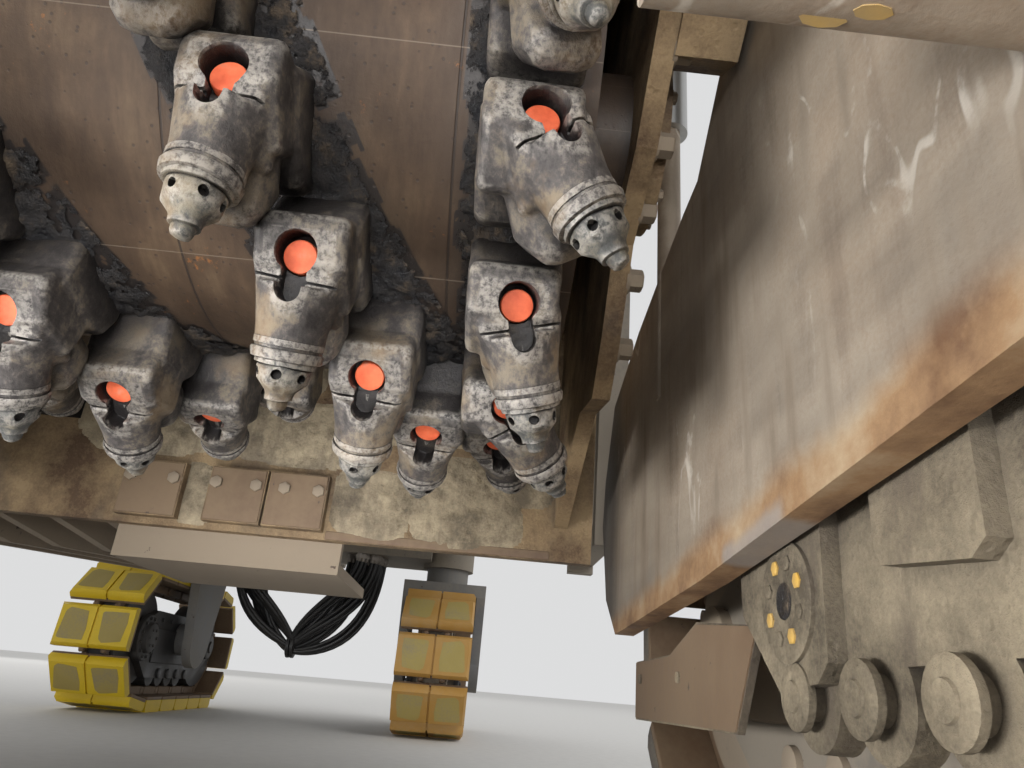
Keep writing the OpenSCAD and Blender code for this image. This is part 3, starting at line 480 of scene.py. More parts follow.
# %% [markdown]
# What the drum throws about sticks where the tools are welded on: a black, greasy crust with stone
# dust on its tops.

# %% Greasy crust and caps
def greasy_weld(name):
    material, coords = start(name, specular=0.45)
    large = coords.noise(18, 5, 0.65)
    mid = coords.noise(60, 6, 0.7)
    fine = coords.noise(210, 4, 0.75)
    tone = ramp(large * 0.45 + mid * 0.55, (0.38, (0.008, 0.008, 0.010)), (0.52, (0.022, 0.019, 0.018)),
                (0.60, (0.075, 0.055, 0.038)), (0.72, (0.23, 0.175, 0.115)))
    dry = mid.step(0.4, 0.56)
    height = large + mid * 1.4 + fine * 0.6
    return end(material, tone, 0.30 + dry * 0.5, height, relief=0.006, strength=0.9)


def feathered(material, reach):
    """Lets the rim of a crust on the tube break up into specks: it thins out where it is lowest."""
    tree = material.node_tree
    coords = Sock(tree, tree.nodes["Texture Coordinate"].outputs["Object"])
    across = coords.axis("X") - drum_axis.x
    up = coords.axis("Z") - drum_axis.z
    height = (across * across + up * up) ** 0.5 - tube_r * mm
    specks = coords.noise(75, 5, 0.7)
    shown = (height / reach + (specks - 0.5) * 2.6).step(0.25, 0.45)
    tree.links.new(shown.out, tree.nodes["Principled BSDF"].inputs["Alpha"])
    return material


def orange_cap():
    material, coords = start("orange_cap")
    large = coords.noise(60, 5, 0.6)
    tone = ramp(large, (0.35, (0.62, 0.095, 0.035)), (0.6, (0.78, 0.15, 0.06)),
                (0.75, (0.55, 0.20, 0.12)))
    return end(material, tone, 0.55 + large * 0.2, large, relief=0.0006, strength=0.5)


# %% [markdown]
# Each finish is made once and handed to every piece that carries it. Those of one kind stand in a
# table together, so that their colours can be compared.

# %% All finishes
body_dust = (0.42, 0.38, 0.31)
finish = {
    "holder_steel": holder_steel("holder_steel", (0.033, 0.029, 0.028), (0.088, 0.078, 0.074),
                                 (0.175, 0.155, 0.13), crust=(0.27, 0.22, 0.155)),
    "pick_steel": holder_steel("pick_steel", (0.05, 0.05, 0.048), (0.095, 0.095, 0.09),
                               (0.16, 0.155, 0.14), crust=(0.34, 0.30, 0.22)),
    "greasy_weld": greasy_weld("greasy_weld"),
    "flight_crust": feathered(greasy_weld("flight_crust"), 0.006),
    "orange_cap": orange_cap(),
    "plate_steel": plate_steel("plate_steel", plate_droop),
    "level_plate_steel": plate_steel("level_plate_steel", 0),
    "drum_steel": drum_steel(),
    "cylinder_steel": bare_steel("cylinder_steel", (0.55, 0.55, 0.54), rough=0.22, streaks=(1, 1, 0.1)),
    "tool_steel": bare_steel("tool_steel", (0.30, 0.27, 0.24), rough=0.42),
    "lamp_glass": bare_steel("lamp_glass", (0.85, 0.83, 0.78), rough=0.12),
}
# name: dark and pale colour, size of the lumps, share of oil and of painted shade, reach of the corners
for name, (dark, pale, lump, oil_and_shade, reach) in {
    "caked_dust": ((0.11, 0.066, 0.036), (0.36, 0.255, 0.14), 9, 0.55, 0.05),
    "crust_dust": ((0.15, 0.12, 0.08), (0.44, 0.36, 0.24), 17, 0.55, 0.05),
    "dusty_casting": ((0.075, 0.06, 0.040), (0.34, 0.28, 0.19), 5, 0.9, 0.11),
}.items():
    finish[name] = caked(name, dark, pale, lump, oil_and_shade, reach)
# name: colour, colour of the dust, share of dust, roughness under it
for name, (colour, dust, dust_share, gloss) in {
    "body_white": ((0.78, 0.77, 0.73), body_dust, 0.25, 0.3),
    "machine_yellow": ((0.80, 0.50, 0.03), (0.40, 0.33, 0.22), 0.3, 0.35),
    "bolt_yellow": ((0.75, 0.42, 0.03), (0.30, 0.24, 0.15), 0.4, 0.35),
    "brown_steel": ((0.125, 0.07, 0.038), (0.26, 0.19, 0.12), 0.3, 0.4),
    "worn_steel": ((0.13, 0.115, 0.10), (0.28, 0.225, 0.165), 0.7, 0.5),
    "frame_grey": ((0.085, 0.085, 0.082), (0.25, 0.215, 0.17), 0.6, 0.45),
    "frame_dark": ((0.028, 0.029, 0.033), (0.13, 0.115, 0.095), 0.12, 0.4),
    "yoke_grey": ((0.15, 0.152, 0.158), (0.28, 0.25, 0.20), 0.25, 0.45),
}.items():
    finish[name] = painted(name, colour, dust, dust_share, gloss)
# name: colour, colour of the dust, share of dust, roughness
for name, (colour, dust, dust_share, rough) in {
    "pad_yellow": ((0.74, 0.52, 0.012), (0.28, 0.22, 0.12), 0.25, 0.5),
    "pad_tan": ((0.46, 0.25, 0.05), (0.34, 0.26, 0.16), 0.6, 0.6),
    "pad_dark": ((0.06, 0.055, 0.05), (0.26, 0.22, 0.17), 0.7, 0.6),
    "pad_worn": ((0.40, 0.31, 0.09), (0.24, 0.21, 0.15), 0.9, 0.7),
    "belt_rubber": ((0.022, 0.022, 0.022), (0.16, 0.14, 0.12), 0.5, 0.75),
    "hose_rubber": ((0.012, 0.012, 0.013), (0.10, 0.09, 0.08), 0.3, 0.42),
    "seat_vinyl": ((0.018, 0.018, 0.019), (0.12, 0.11, 0.10), 0.2, 0.45),
}.items():
    finish[name] = rubber(name, colour, dust, dust_share, rough)
print(len(finish), "finishes")

# %% [markdown]
# The CAD pieces that are already right keep their shape and only get their finish.

# %% Finishes of the CAD pieces
white = ["rear_body", "side_covers", "front_body", "engine_hood", "left_door", "right_door", "canopy",
         "lower_conveyor", "upper_conveyor", "drum_drive_cover"]
grey = ["main_frame", "radiator_grille", "platform", "consoles", "primary_conveyor", "slew_frame",
        "lift_barrel", "ladders", "rear_left_track_frame", "rear_right_track_frame",
        "front_right_track_frame"]
worn = ["inlet_shoe", "engine_block", "rear_left_rollers", "rear_right_rollers", "front_right_rollers"]
node_groups = {
    "body_white": white, "frame_grey": grey, "worn_steel": worn,
    "frame_dark": ["front_left_track_frame", "front_left_rollers"],
    "dusty_casting": ["rear_left_leg", "rear_right_leg"], "yoke_grey": ["front_left_leg", "front_right_leg"],
    "caked_dust": ["drum_housing"], "drum_steel": ["drum_tube"], "holder_steel": ["tool_holders"],
    "pick_steel": ["picks"], "plate_steel": ["right_side_plate"],
    "level_plate_steel": ["left_side_plate", "scraper"],
    "cylinder_steel": ["exhaust", "lift_cylinders", "lift_rod"], "machine_yellow": ["guard_rails"],
    "seat_vinyl": ["seats"], "lamp_glass": ["lamps"], "hose_rubber": ["hoses"],
    "belt_rubber": ["primary_belt", "lower_belt", "upper_belt"], "pad_yellow": ["front_left_track"],
    "pad_tan": ["front_right_track"], "pad_dark": ["rear_left_track", "rear_right_track"],
}
node_finish = {node: name for name, nodes in node_groups.items() for node in nodes}
for node, piece in frame["nodes"].items():
    piece.data.materials.clear()
    piece.data.materials.append(finish[node_finish[node]])
print(len(node_finish), "CAD pieces finished")

# %% [markdown]
# Detailed pieces grow out of simple convex forms. One class collects them in a mesh, in millimetres
# in a small frame of their own: hulls, boxes, rounded forms and turned parts.

# %% Solids from simple forms
class Solid:
    """A mesh that is put together from convex forms, given in millimetres."""

    def __init__(self):
        self.bm = bmesh.new()

    def hull(self, points):
        verts = [self.bm.verts.new(Vector(p) * mm) for p in points]
        made = bmesh.ops.convex_hull(self.bm, input=verts)
        inside = [v for v in made["geom_interior"] if isinstance(v, bmesh.types.BMVert) and v.is_valid]
        bmesh.ops.delete(self.bm, geom=inside, context="VERTS")
        return self

    def box(self, x0, x1, y0, y1, z0, z1, bevel=0.0):
        """A box between two places on each axis, in either order; bevel cuts its twelve edges."""
        points = []
        ends = [list(zip(sorted(pair), (bevel, -bevel))) for pair in ((x0, x1), (y0, y1), (z0, z1))]
        for x, dx in ends[0]:
            for y, dy in ends[1]:
                for z, dz in ends[2]:
                    points += [(x + dx, y + dy, z), (x + dx, y, z + dz), (x, y + dy, z + dz)]
        return self.hull(points)

    def balls(self, centres, r):
        """The hull round balls of one size: a form with every corner rounded."""
        points = []
        for centre_point in centres:
            for tilt in (-75, -35, 0, 35, 75):
                for k in range(10):
                    a, b = math.radians(36 * k), math.radians(tilt)
                    out = Vector((math.cos(a) * math.cos(b), math.sin(a) * math.cos(b), math.sin(b)))
                    points.append(Vector(centre_point) + r * out)
        return self.hull(points)

    def turn(self, profile, place=None, segments=28):
        """A turned part: pairs of a length along z and a radius, moved by place."""
        place = place or Matrix()
        rings = []
        for along, radius in profile:
            ring = []
            for k in range(segments):
                angle = 2 * math.pi * k / segments
                point = place @ Vector((radius * math.cos(angle), radius * math.sin(angle), along))
                ring.append(self.bm.verts.new(point * mm))
            rings.append(ring)
        for low, high in zip(rings, rings[1:]):
            for k in range(segments):
                nxt = (k + 1) % segments
                self.bm.faces.new((low[k], low[nxt], high[nxt], high[k]))
        self.bm.faces.new(rings[0][::-1])
        self.bm.faces.new(rings[-1])
        return self

    def mesh(self):
        bmesh.ops.recalc_face_normals(self.bm, faces=self.bm.faces)
        made = bpy.data.meshes.new("part")
        self.bm.to_mesh(made)
        self.bm.free()
        return made


# %% [markdown]
# A casting has no sharp corners and its forms flow into each other. Bevels on so many meeting forms
# would break, so the overlapping forms are wrapped in a fine voxel skin, which is smoothed. The
# keyhole is cut afterwards and keeps its sharp rim, and the faces are thinned out at the end.

# %% Castings
def evaluated(mesh, *steps):
    """The mesh after a few modifiers, each a type and its settings."""
    helper = bpy.data.objects.new("helper", mesh)
    bpy.context.scene.collection.objects.link(helper)
    for kind, settings in steps:
        modifier = helper.modifiers.new(kind, kind)
        for name, value in settings.items():
            setattr(modifier, name, value)
    graph = bpy.context.evaluated_depsgraph_get()
    made = bpy.data.meshes.new_from_object(helper.evaluated_get(graph))
    bpy.data.objects.remove(helper)
    return made


def drilled(mesh, cutter):
    """The mesh with the cutter taken out of it."""
    tool = bpy.data.objects.new("cutter", cutter)
    bpy.context.scene.collection.objects.link(tool)
    steps = ("BOOLEAN", {"operation": "DIFFERENCE", "object": tool, "solver": "EXACT"})
    made = evaluated(mesh, steps)
    bpy.data.objects.remove(tool)
    return made


def cast_skin(mesh, voxel, rounds, cutter=None, share=1.0):
    """A smooth casting round the forms of a mesh, with the cutter taken out of it.

    Voxel is in millimetres, and share says how many of the faces are kept.
    """
    steps = [("REMESH", {"mode": "VOXEL", "voxel_size": voxel * mm}),
             ("SMOOTH", {"factor": 0.5, "iterations": rounds})]
    made = evaluated(mesh, *steps)
    if cutter is not None:
        made = drilled(made, cutter)
    if share < 1:
        made = evaluated(made, ("DECIMATE", {"ratio": share}))
    return made


# %% [markdown]
# The drum carries 87 tools, and no two are worn alike. Objects that share a mesh would all look the
# same, so the copies are joined in one mesh, and noise shifts their points a little.

# %% Many copies in one mesh
def copies(placed, wobble=0.0, wave=25.0):
    """One mesh from pairs of a mesh and a matrix. Wobble, in millimetres, makes each copy its own."""
    points, corners, sizes, count = [], [], [], 0
    for mesh, matrix in placed:
        own = np.empty(len(mesh.vertices) * 3)
        mesh.vertices.foreach_get("co", own)
        turned = own.reshape(-1, 3) @ np.array(matrix.to_3x3()).T + np.array(matrix.translation)
        loops = np.empty(len(mesh.loops), dtype=np.int32)
        mesh.loops.foreach_get("vertex_index", loops)
        totals = np.empty(len(mesh.polygons), dtype=np.int32)
        mesh.polygons.foreach_get("loop_total", totals)
        points.append(turned)
        corners.append(loops + count)
        sizes.append(totals)
        count += len(mesh.vertices)
    points, corners, sizes = (np.concatenate(part) for part in (points, corners, sizes))
    if wobble:
        moves = [noise.noise_vector(Vector(p) * wave) for p in points]
        points = points + np.array(moves) * wobble * mm
    made = bpy.data.meshes.new("copies")
    made.vertices.add(count)
    made.vertices.foreach_set("co", points.ravel())
    made.loops.add(len(corners))
    made.loops.foreach_set("vertex_index", corners)
    made.polygons.add(len(sizes))
    starts = np.concatenate(([0], np.cumsum(sizes)[:-1]))
    made.polygons.foreach_set("loop_start", starts.astype(np.int32))
    made.update(calc_edges=True)
    return made


# %% [markdown]
# A piece is told which body it rides on, so that it moves with the joint, and which plain CAD pieces
# it stands for. One function does that for all pieces and prints how many triangles each one has.

# %% Adding a piece
def add_piece(name, mesh, finish_name, body="machine", smooth_deg=40, stands_for=()):
    """Puts a mesh in the scene, rides it on a body and shades it smooth up to an angle."""
    piece = bpy.data.objects.new(name, mesh)
    bpy.context.scene.collection.objects.link(piece)
    mesh.materials.clear()
    mesh.materials.append(finish[finish_name])
    mesh.polygons.foreach_set("use_smooth", [True] * len(mesh.polygons))
    mesh.set_sharp_from_angle(angle=math.radians(smooth_deg))
    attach(piece, body)
    if stands_for:
        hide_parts(*stands_for)
    print(name, sum(len(p.vertices) - 2 for p in mesh.polygons), "triangles")
    return piece


def add_solid(name, solid, finish_name, place, body="machine", **more):
    """Moves a solid to its place and adds it as a piece."""
    made = solid.mesh()
    made.transform(place)
    return add_piece(name, made, finish_name, body, **more)


def spin(axis, degrees):
    return Matrix.Rotation(math.radians(degrees), 4, axis)


def shift(x, y, z):
    return Matrix.Translation((x, y, z))


def on_side(x, y, z, s):
    """The place of a turned part that points out of the left side, where s is 1, or the right, -1."""
    return shift(x, y, z) @ spin("X", -90 * s)


def scaled(matrix):
    """The same matrix with its translation in metres instead of millimetres."""
    made = matrix.copy()
    made.translation = matrix.translation * mm
    return made


# %% [markdown]
# A tool has its own small frame: x along the cut, y to the right, z away from the drum's axis. Its
# holder is welded upright to the tube, and its nose leans sideways, most of all in the end rings.
# The keyhole in the slanted face is where the clamping bolt sits, with an orange cap over it.

# %% One tool in its own frame
cut_r, tip_ahead = 490, 75
tip = Vector((tip_ahead, 0, math.sqrt(cut_r ** 2 - tip_ahead ** 2)))
attack = 40
lean_z = 360
face = Vector((-53, 0, 412))
face_angle = 42
along_tool = Matrix.Translation(tip) @ spin("Y", -90 - attack)
on_face = Matrix.Translation(face) @ spin("Y", -face_angle)
holder_voxel, holder_share = 2.0, 0.058


def leaning(lean):
    return shift(0, 0, lean_z) @ spin("Z", 0.6 * lean) @ spin("X", -lean) @ shift(0, 0, -lean_z)


def add_moved(solid, place, build):
    """Builds forms in a frame of their own and moves them to their place in the solid."""
    before = set(solid.bm.verts)
    build(solid)
    metres = scaled(place)
    for vert in set(solid.bm.verts) - before:
        vert.co = metres @ vert.co


def nose_forms(solid):
    """The part that leans: shoulder behind the barrel, the barrel and its belly."""
    shoulder = [(x, y, z) for x, z in ((-46, 388), (-48, 397), (-34, 415), (20, 404)) for y in (-31, 31)]
    solid.balls(shoulder + [(-4, -19, 430), (-4, 19, 430), (2, 0, 435)], 8)
    solid.turn([(54, 29.5), (62, 30), (80, 31.5), (98, 35), (116, 39)], along_tool)
    belly = ((55, 404, 12), (44, 384, 16), (8, 388, 18))
    solid.balls([(x, y, z) for x, z, half in belly for y in (-half, half)], 21)


def holder_mesh(lean):
    """The casting for one lean, with its keyhole and the groove across it."""
    body = Solid()
    foot = ((-42, 300), (-46, 345), (-48, 366), (6, 368), (36, 352), (44, 332), (42, 300))
    body.balls([(x, y, z) for x, z in foot for y in (-33, 33)], 12)
    lips = ((-52, 364), (-67, 387), (-64, 393), (-43, 411), (4, 408), (10, 370))
    body.balls([(x, y, z) for x, z in lips for y in (-33, 33)], 9)
    add_moved(body, leaning(lean), nose_forms)
    cut = Solid()

    def keyhole(solid):
        solid.turn([(-26, 18.5), (0, 18.5), (3, 20), (40, 24)], on_face)
        points = [(x, s * (11 if z < 0 else 12.5), z) for x in (4, 33) for s in (-1, 1) for z in (-17, 40)]
        solid.hull([on_face @ Vector(p) for p in points])
        solid.turn([(-17, 11), (0, 11), (40, 13)], on_face @ shift(33, 0, 0))
        groove = [(x, y, z) for x in (22.5, 25.2) for y in (-60, 60) for z in (-11, 30)]
        solid.hull([on_face @ Vector(p) for p in groove])

    add_moved(cut, leaning(lean), keyhole)
    return cast_skin(body.mesh(), holder_voxel, 5, fused(cut.mesh()), holder_share)


def fused(mesh):
    """Overlapping forms as one closed skin, so that a cut with them is clean."""
    return evaluated(mesh, ("REMESH", {"mode": "VOXEL", "voxel_size": 0.9 * mm}))


# %% [markdown]
# The pick sits loose in its holder so that it turns and wears evenly: a hard tip in a cone, a skirt
# with six holes and a shank. A wear ring closes the holder, and a plastic cap keeps dirt out of the
# bolt. All three are turned parts.

# %% Wear ring, pick and cap
def collar_mesh(lean):
    """The wear ring at the barrel's end, with its groove."""
    ring = Solid()
    profile = [(49, 27), (50, 31), (57, 32.5), (59, 31.5), (59.5, 28.5), (62, 28.5), (62.5, 31), (68, 31)]
    ring.turn(profile, along_tool)
    made = ring.mesh()
    made.transform(scaled(leaning(lean)))
    return made


def pick_mesh():
    """Shaft, skirt with its six holes, and the worn carbide tip, along z from the tip."""
    body = Solid()
    profile = [(3.0, 1.5), (3.6, 5.0), (5, 7.2), (8, 8.4), (13, 9.2), (13.8, 12.2), (19, 13), (22, 14.5),
               (30, 22), (43, 24), (45, 23), (45.5, 27), (49.5, 27.5), (50, 11), (120, 11)]
    body.turn(profile, segments=36)
    holes = Solid()
    for k in range(6):
        holes.turn([(-8, 4.6), (8, 4.6)], spin("Z", 60 * k) @ shift(23, 0, 37) @ spin("Y", 90), segments=12)
    return drilled(body.mesh(), holes.mesh())


def cap_mesh(lean):
    """The orange plastic cap in the keyhole."""
    cap = Solid()
    cap.turn([(-24, 15), (-13, 15.2), (-11.5, 14.4), (-11, 12.5), (-11.4, 0.5)], on_face @ shift(2.2, 0, 0))
    made = cap.mesh()
    made.transform(scaled(leaning(lean)))
    return made


# %% [markdown]
# The tools stand on three flights that wind inwards from each end of the cut, 20 degrees and 54 mm
# apart, and each end has a ring of 16 whose leans alternate.

# %% All places of tools
cut_ends = {"right": (-850, 1, 850), "left": (650, -1, 430)}
row_y, ring_y, line_step = 152, 72, 18
row_start, ring_start, tool_angle, ring_tools = -76, -112, 20, 16
row_lean, ring_leans = -5, (13, 30)


def at_tool(theta, y):
    """The tool at an angle round the drum and a place along it."""
    turned = spin("Y", 90 - theta) @ spin("Z", 180)
    return Matrix.Translation(drum_axis + Vector((0, y * mm, 0))) @ turned


def row_theta(i):
    return row_start - tool_angle * i / 3 + 120 * (i % 3)


def tool_places(side):
    """For one end of the drum: the lean, the matrix and the kind of each tool."""
    start_y, inwards, reach = cut_ends[side]
    places = []
    for i in range((reach - row_y) // line_step + 1):
        y = start_y + inwards * (row_y + line_step * i)
        places.append((inwards * row_lean, at_tool(row_theta(i), y), "row"))
    for i in range(ring_tools):
        theta = ring_start + i * 360 / ring_tools
        places.append((inwards * ring_leans[i % 2], at_tool(theta, start_y + inwards * ring_y), "ring"))
    return places


leans = sorted({lean for side in cut_ends for lean, place, kind in tool_places(side)})
made_of = {"holders": holder_mesh, "collars": collar_mesh, "caps": cap_mesh}
parts_of = {what: {lean: make(lean) for lean in leans} for what, make in made_of.items()}
print("leans", leans, "triangles of one holder", len(parts_of["holders"][leans[0]].polygons))


def place_tools(side, kind, what):
    """The pairs of a part and its place at one end, for the rows, the ring or both."""
    return [(parts_of[what][lean], place) for lean, place, own_kind in tool_places(side)
            if kind in (own_kind, "all")]


def both_ends(what):
    return copies([pair for side in cut_ends for pair in place_tools(side, "all", what)])


# %% [markdown]
# The holders are split in three pieces, so that none is too heavy, and the first one stands for the
# plain holders of the CAD model. Each pick is turned to an angle of its own about its axis.

# %% The tools on the drum
holder_wobble = 1.2
for name, side, kind, stands_for in (("holders_right_rows", "right", "row", ["tool_holders"]),
                                     ("holders_right_ring", "right", "ring", ()),
                                     ("holders_left", "left", "all", ())):
    made = copies(place_tools(side, kind, "holders"), holder_wobble)
    add_piece(name, made, "holder_steel", "drum", stands_for=stands_for)
add_piece("holder_collars", both_ends("collars"), "holder_steel", "drum")
bit = pick_mesh()
random.seed(5)
bits = [(bit, place @ scaled(leaning(lean) @ along_tool) @ spin("Z", random.uniform(0, 60)))
        for side in cut_ends for lean, place, kind in tool_places(side)]
add_piece("pick_bits", copies(bits, wobble=1.6, wave=70), "pick_steel", "drum", stands_for=["picks"])
add_piece("bolt_caps", both_ends("caps"), "orange_cap", "drum")

# %% [markdown]
# Along every flight the welds are buried under a ribbon of asphalt and grease. It is a strip on the
# tube, highest in its middle, whose height is broken up by noise. Where it would be too thin, its
# faces are left out, so that the rim is ragged.

# %% A crust on the tube
def kept_faces(rows, cols, thick):
    """The faces of a grid that have a corner thicker than nothing."""
    faces = []
    for r in range(rows):
        for c in range(cols):
            a = r * (cols + 1) + c
            corners = (a, a + 1, a + cols + 2, a + cols + 1)
            if max(thick[k] for k in corners) > 0:
                faces.append(corners)
    return faces


def crust_strip(route, rows, half_w, across=42):
    """A lumpy strip on the tube. Route turns a share from 0 to 1 into an angle and a place along it."""
    points, thick = [], []
    for r in range(rows + 1):
        theta, mid_y = route(r / rows)
        for c in range(across + 1):
            off = (2 * c / across - 1) * half_w
            angle = theta + off / tube_r * 0.45
            along = (mid_y + off * 0.9) * mm
            spot = Vector((math.cos(angle) * tube_r * mm, along, math.sin(angle) * tube_r * mm))
            lump = noise.fractal(spot * 55, 0.55, 2.2, 4)
            big = noise.noise(spot * 12)
            crown = max(0.0, 1 - (off / half_w + 0.22 * noise.noise(spot * 9)) ** 2)
            height = crown * (7 + 8 * big) + crown ** 0.5 * 6 * lump + 0.3
            thick.append(height - 1.3 - 2.5 * noise.noise(spot * 31))
            radius = (tube_r + height) * mm
            points.append(drum_axis + Vector((math.cos(angle) * radius, along, math.sin(angle) * radius)))
    made = bpy.data.meshes.new("strip")
    made.from_pydata([tuple(p) for p in points], [], kept_faces(rows, across, thick))
    return made


# %% [markdown]
# Three ribbons follow the flights of each end, with the same slope as the rows of tools, and one
# ribbon runs round the drum under each end ring.

# %% Ribbons along the flights
flight_half_w, ring_half_w = 78, 62


def flight_route(side, flight):
    """The route of one ribbon and its number of rows."""
    start_y, inwards, reach = cut_ends[side]
    first, last = flight - 4.5, (reach - row_y) / line_step

    def route(share):
        i = first + (last - first) * share
        theta = row_start - tool_angle * i / 3 + 120 * flight
        return math.radians(theta), start_y + inwards * (row_y + line_step * i)

    return route, int((last - first) * 10)


def ring_route(side):
    start_y, inwards, reach = cut_ends[side]
    return lambda share: (2 * math.pi * share, start_y + inwards * (ring_y + 8))


strips = [(crust_strip(*flight_route(side, flight), flight_half_w), Matrix())
          for side in cut_ends for flight in range(3)]
add_piece("flight_welds", copies(strips), "flight_crust", "drum", smooth_deg=80)
rings = [(crust_strip(ring_route(side), 440, ring_half_w, across=34), Matrix()) for side in cut_ends]
add_piece("ring_welds", copies(rings), "flight_crust", "drum", smooth_deg=80)

# %% [markdown]
# The crawlers carry their pads on a chain of links. Each pad is a chamfered block on a steel shoe,
# held by four bolts. The loop runs straight between the two end wheels and bends round them.

# %% The loop of a crawler
end_r, pad_t, pad_w, reach, shoes = 285, 60, 290, 810, 18
chain_r = end_r - pad_t
pad_pitch = (2 * reach + 2 * math.pi * chain_r) / shoes
half_turn = math.pi * chain_r


def on_loop(u):
    """The place at length u along the chain's outer line, with z pointing outwards."""
    if u < reach:
        return shift(-reach / 2 + u, 0, end_r + chain_r)
    if u < reach + half_turn:
        turn = math.degrees((u - reach) / chain_r)
        return shift(reach / 2, 0, end_r) @ spin("Y", turn) @ shift(0, 0, chain_r)
    if u < 2 * reach + half_turn:
        return shift(reach / 2 - (u - reach - half_turn), 0, end_r - chain_r) @ spin("Y", 180)
    turn = 180 + math.degrees((u - 2 * reach - half_turn) / chain_r)
    return shift(-reach / 2, 0, end_r) @ spin("Y", turn) @ shift(0, 0, chain_r)


print("pad pitch", round(pad_pitch, 1), "mm")

# %% [markdown]
# Each pad is one block of rubber in two halves, its edges chamfered where they meet the ground. The
# pads of the turns are a little lower, because their corners stand out there. A worn patch lies on
# each half of a pad. Bolts are drawn by one function for the whole machine.

# %% Pads, shoes and links
bolt_turns = {"X": spin("Y", 90), "-X": spin("Y", -90), "Y": spin("X", -90), "-Y": spin("X", 90)}
side_axis = {1: "Y", -1: "-Y"}


def bolt(solid, x, y, z, r, high, up):
    """A hexagonal head on a washer, standing along one axis from its seat."""
    place = shift(x, y, z) @ bolt_turns[up]
    solid.turn([(-2, r * 1.25), (2, r * 1.25)], place, 12)
    solid.turn([(1, r), (high - 1, r), (high, r * 0.85)], place, 6)


def pad_parts(flat):
    """The pad block, and what is steel: the shoe below it, two links and four bolts."""
    high = pad_t if flat else math.sqrt(end_r ** 2 - (pad_pitch / 2 - 4) ** 2) - chain_r
    half = pad_pitch / 2 - 5
    chamfer_x, chamfer_y, chamfer_z = 11, 9, 15
    shoe_t = 13
    block = Solid()
    for side in (-1, 1):
        y0, y1 = sorted((side * 4, side * (pad_w / 2 - 1)))
        points = []
        for x in (-half, half):
            inner = x - math.copysign(chamfer_x, x)
            points += [(x, y, z) for z in (shoe_t, high - chamfer_z) for y in (y0, y1)]
            points += [(inner, y0, high - 0.5), (inner, y1 - chamfer_y if side > 0 else y1, high - 0.5),
                       (inner, y0 + chamfer_y if side < 0 else y0, high - 0.5)]
        block.hull(points)
    block.box(-half + 8, half - 8, -6, 6, shoe_t, high - 8, 1)
    steel = Solid()
    steel.box(-half, half, -pad_w / 2 + 1, pad_w / 2 - 1, 0, shoe_t, 2)
    for y in (-42, 42):
        steel.box(-half - 12, half - 14, y - 9, y + 9, -34, 1, 4)
        steel.turn([(-11, 15), (11, 15)], shift(-half + 2, y, -18) @ spin("X", 90), 16)
    for y in (-100, 100):
        for x in (-half + 14, half - 14):
            steel.turn([(12, 8), (17, 8)], shift(x, y, 0), 6)
    patch = Solid()
    for side in (-1, 1):
        rim = []
        for k in range(18):
            a = math.radians(20 * k)
            grow = 1 + 0.12 * math.sin(3 * a + side) + 0.08 * math.sin(7 * a)
            rim.append(((half - 16) * grow * max(-0.82, min(0.82, math.cos(a) * 1.3)),
                        side * 74 + 52 * grow * max(-0.85, min(0.85, math.sin(a) * 1.3))))
        patch.hull([(x, y, z) for x, y in rim for z in (high - 2, high + 0.2)])
    return block.mesh(), steel.mesh(), patch.mesh()


parts = {flat: pad_parts(flat) for flat in (True, False)}


# %% [markdown]
# The same pads and links go round all four crawlers. Only the colour of the pads differs, and the
# rear ones are too dark to show a worn patch.

# %% Tracks
def crawler_place(node):
    """The crawler's own frame: its centre on the ground, outwards along y."""
    middle = centre(node)
    side = 1 if "left" in node else -1
    return Matrix.Translation((middle.x, middle.y, 0)) @ Matrix.Diagonal((1, side, 1, 1))


def dress_track(node, pad_finish, body):
    base = crawler_place(node)
    pads, steel, patches = [], [], []
    for i in range(shoes):
        u = i * pad_pitch
        flat = u <= reach or reach + half_turn <= u <= 2 * reach + half_turn
        place = base @ scaled(on_loop(u))
        for pairs, part in zip((pads, steel, patches), parts[flat]):
            pairs.append((part, place))
    add_piece(node + "_pads", copies(pads), pad_finish, body, stands_for=[node])
    add_piece(node + "_links", copies(steel), "brown_steel", body)
    if pad_finish != "pad_dark":
        add_piece(node + "_pad_wear", copies(patches), "pad_worn", body)


crawlers = {"front_left": ("pad_yellow", "crawler_front_left"),
            "front_right": ("pad_tan", "crawler_front_right"),
            "rear_left": ("pad_dark", "machine"), "rear_right": ("pad_dark", "machine")}
for corner, (pad_finish, body) in crawlers.items():
    dress_track(corner + "_track", pad_finish, body)


# %% [markdown]
# Every crawler is driven by a hydraulic motor in the hub of its rear end wheel. On the wheel sit two
# rings of bolts. The frame carries a plate over its middle, with the caps of the rollers below it.

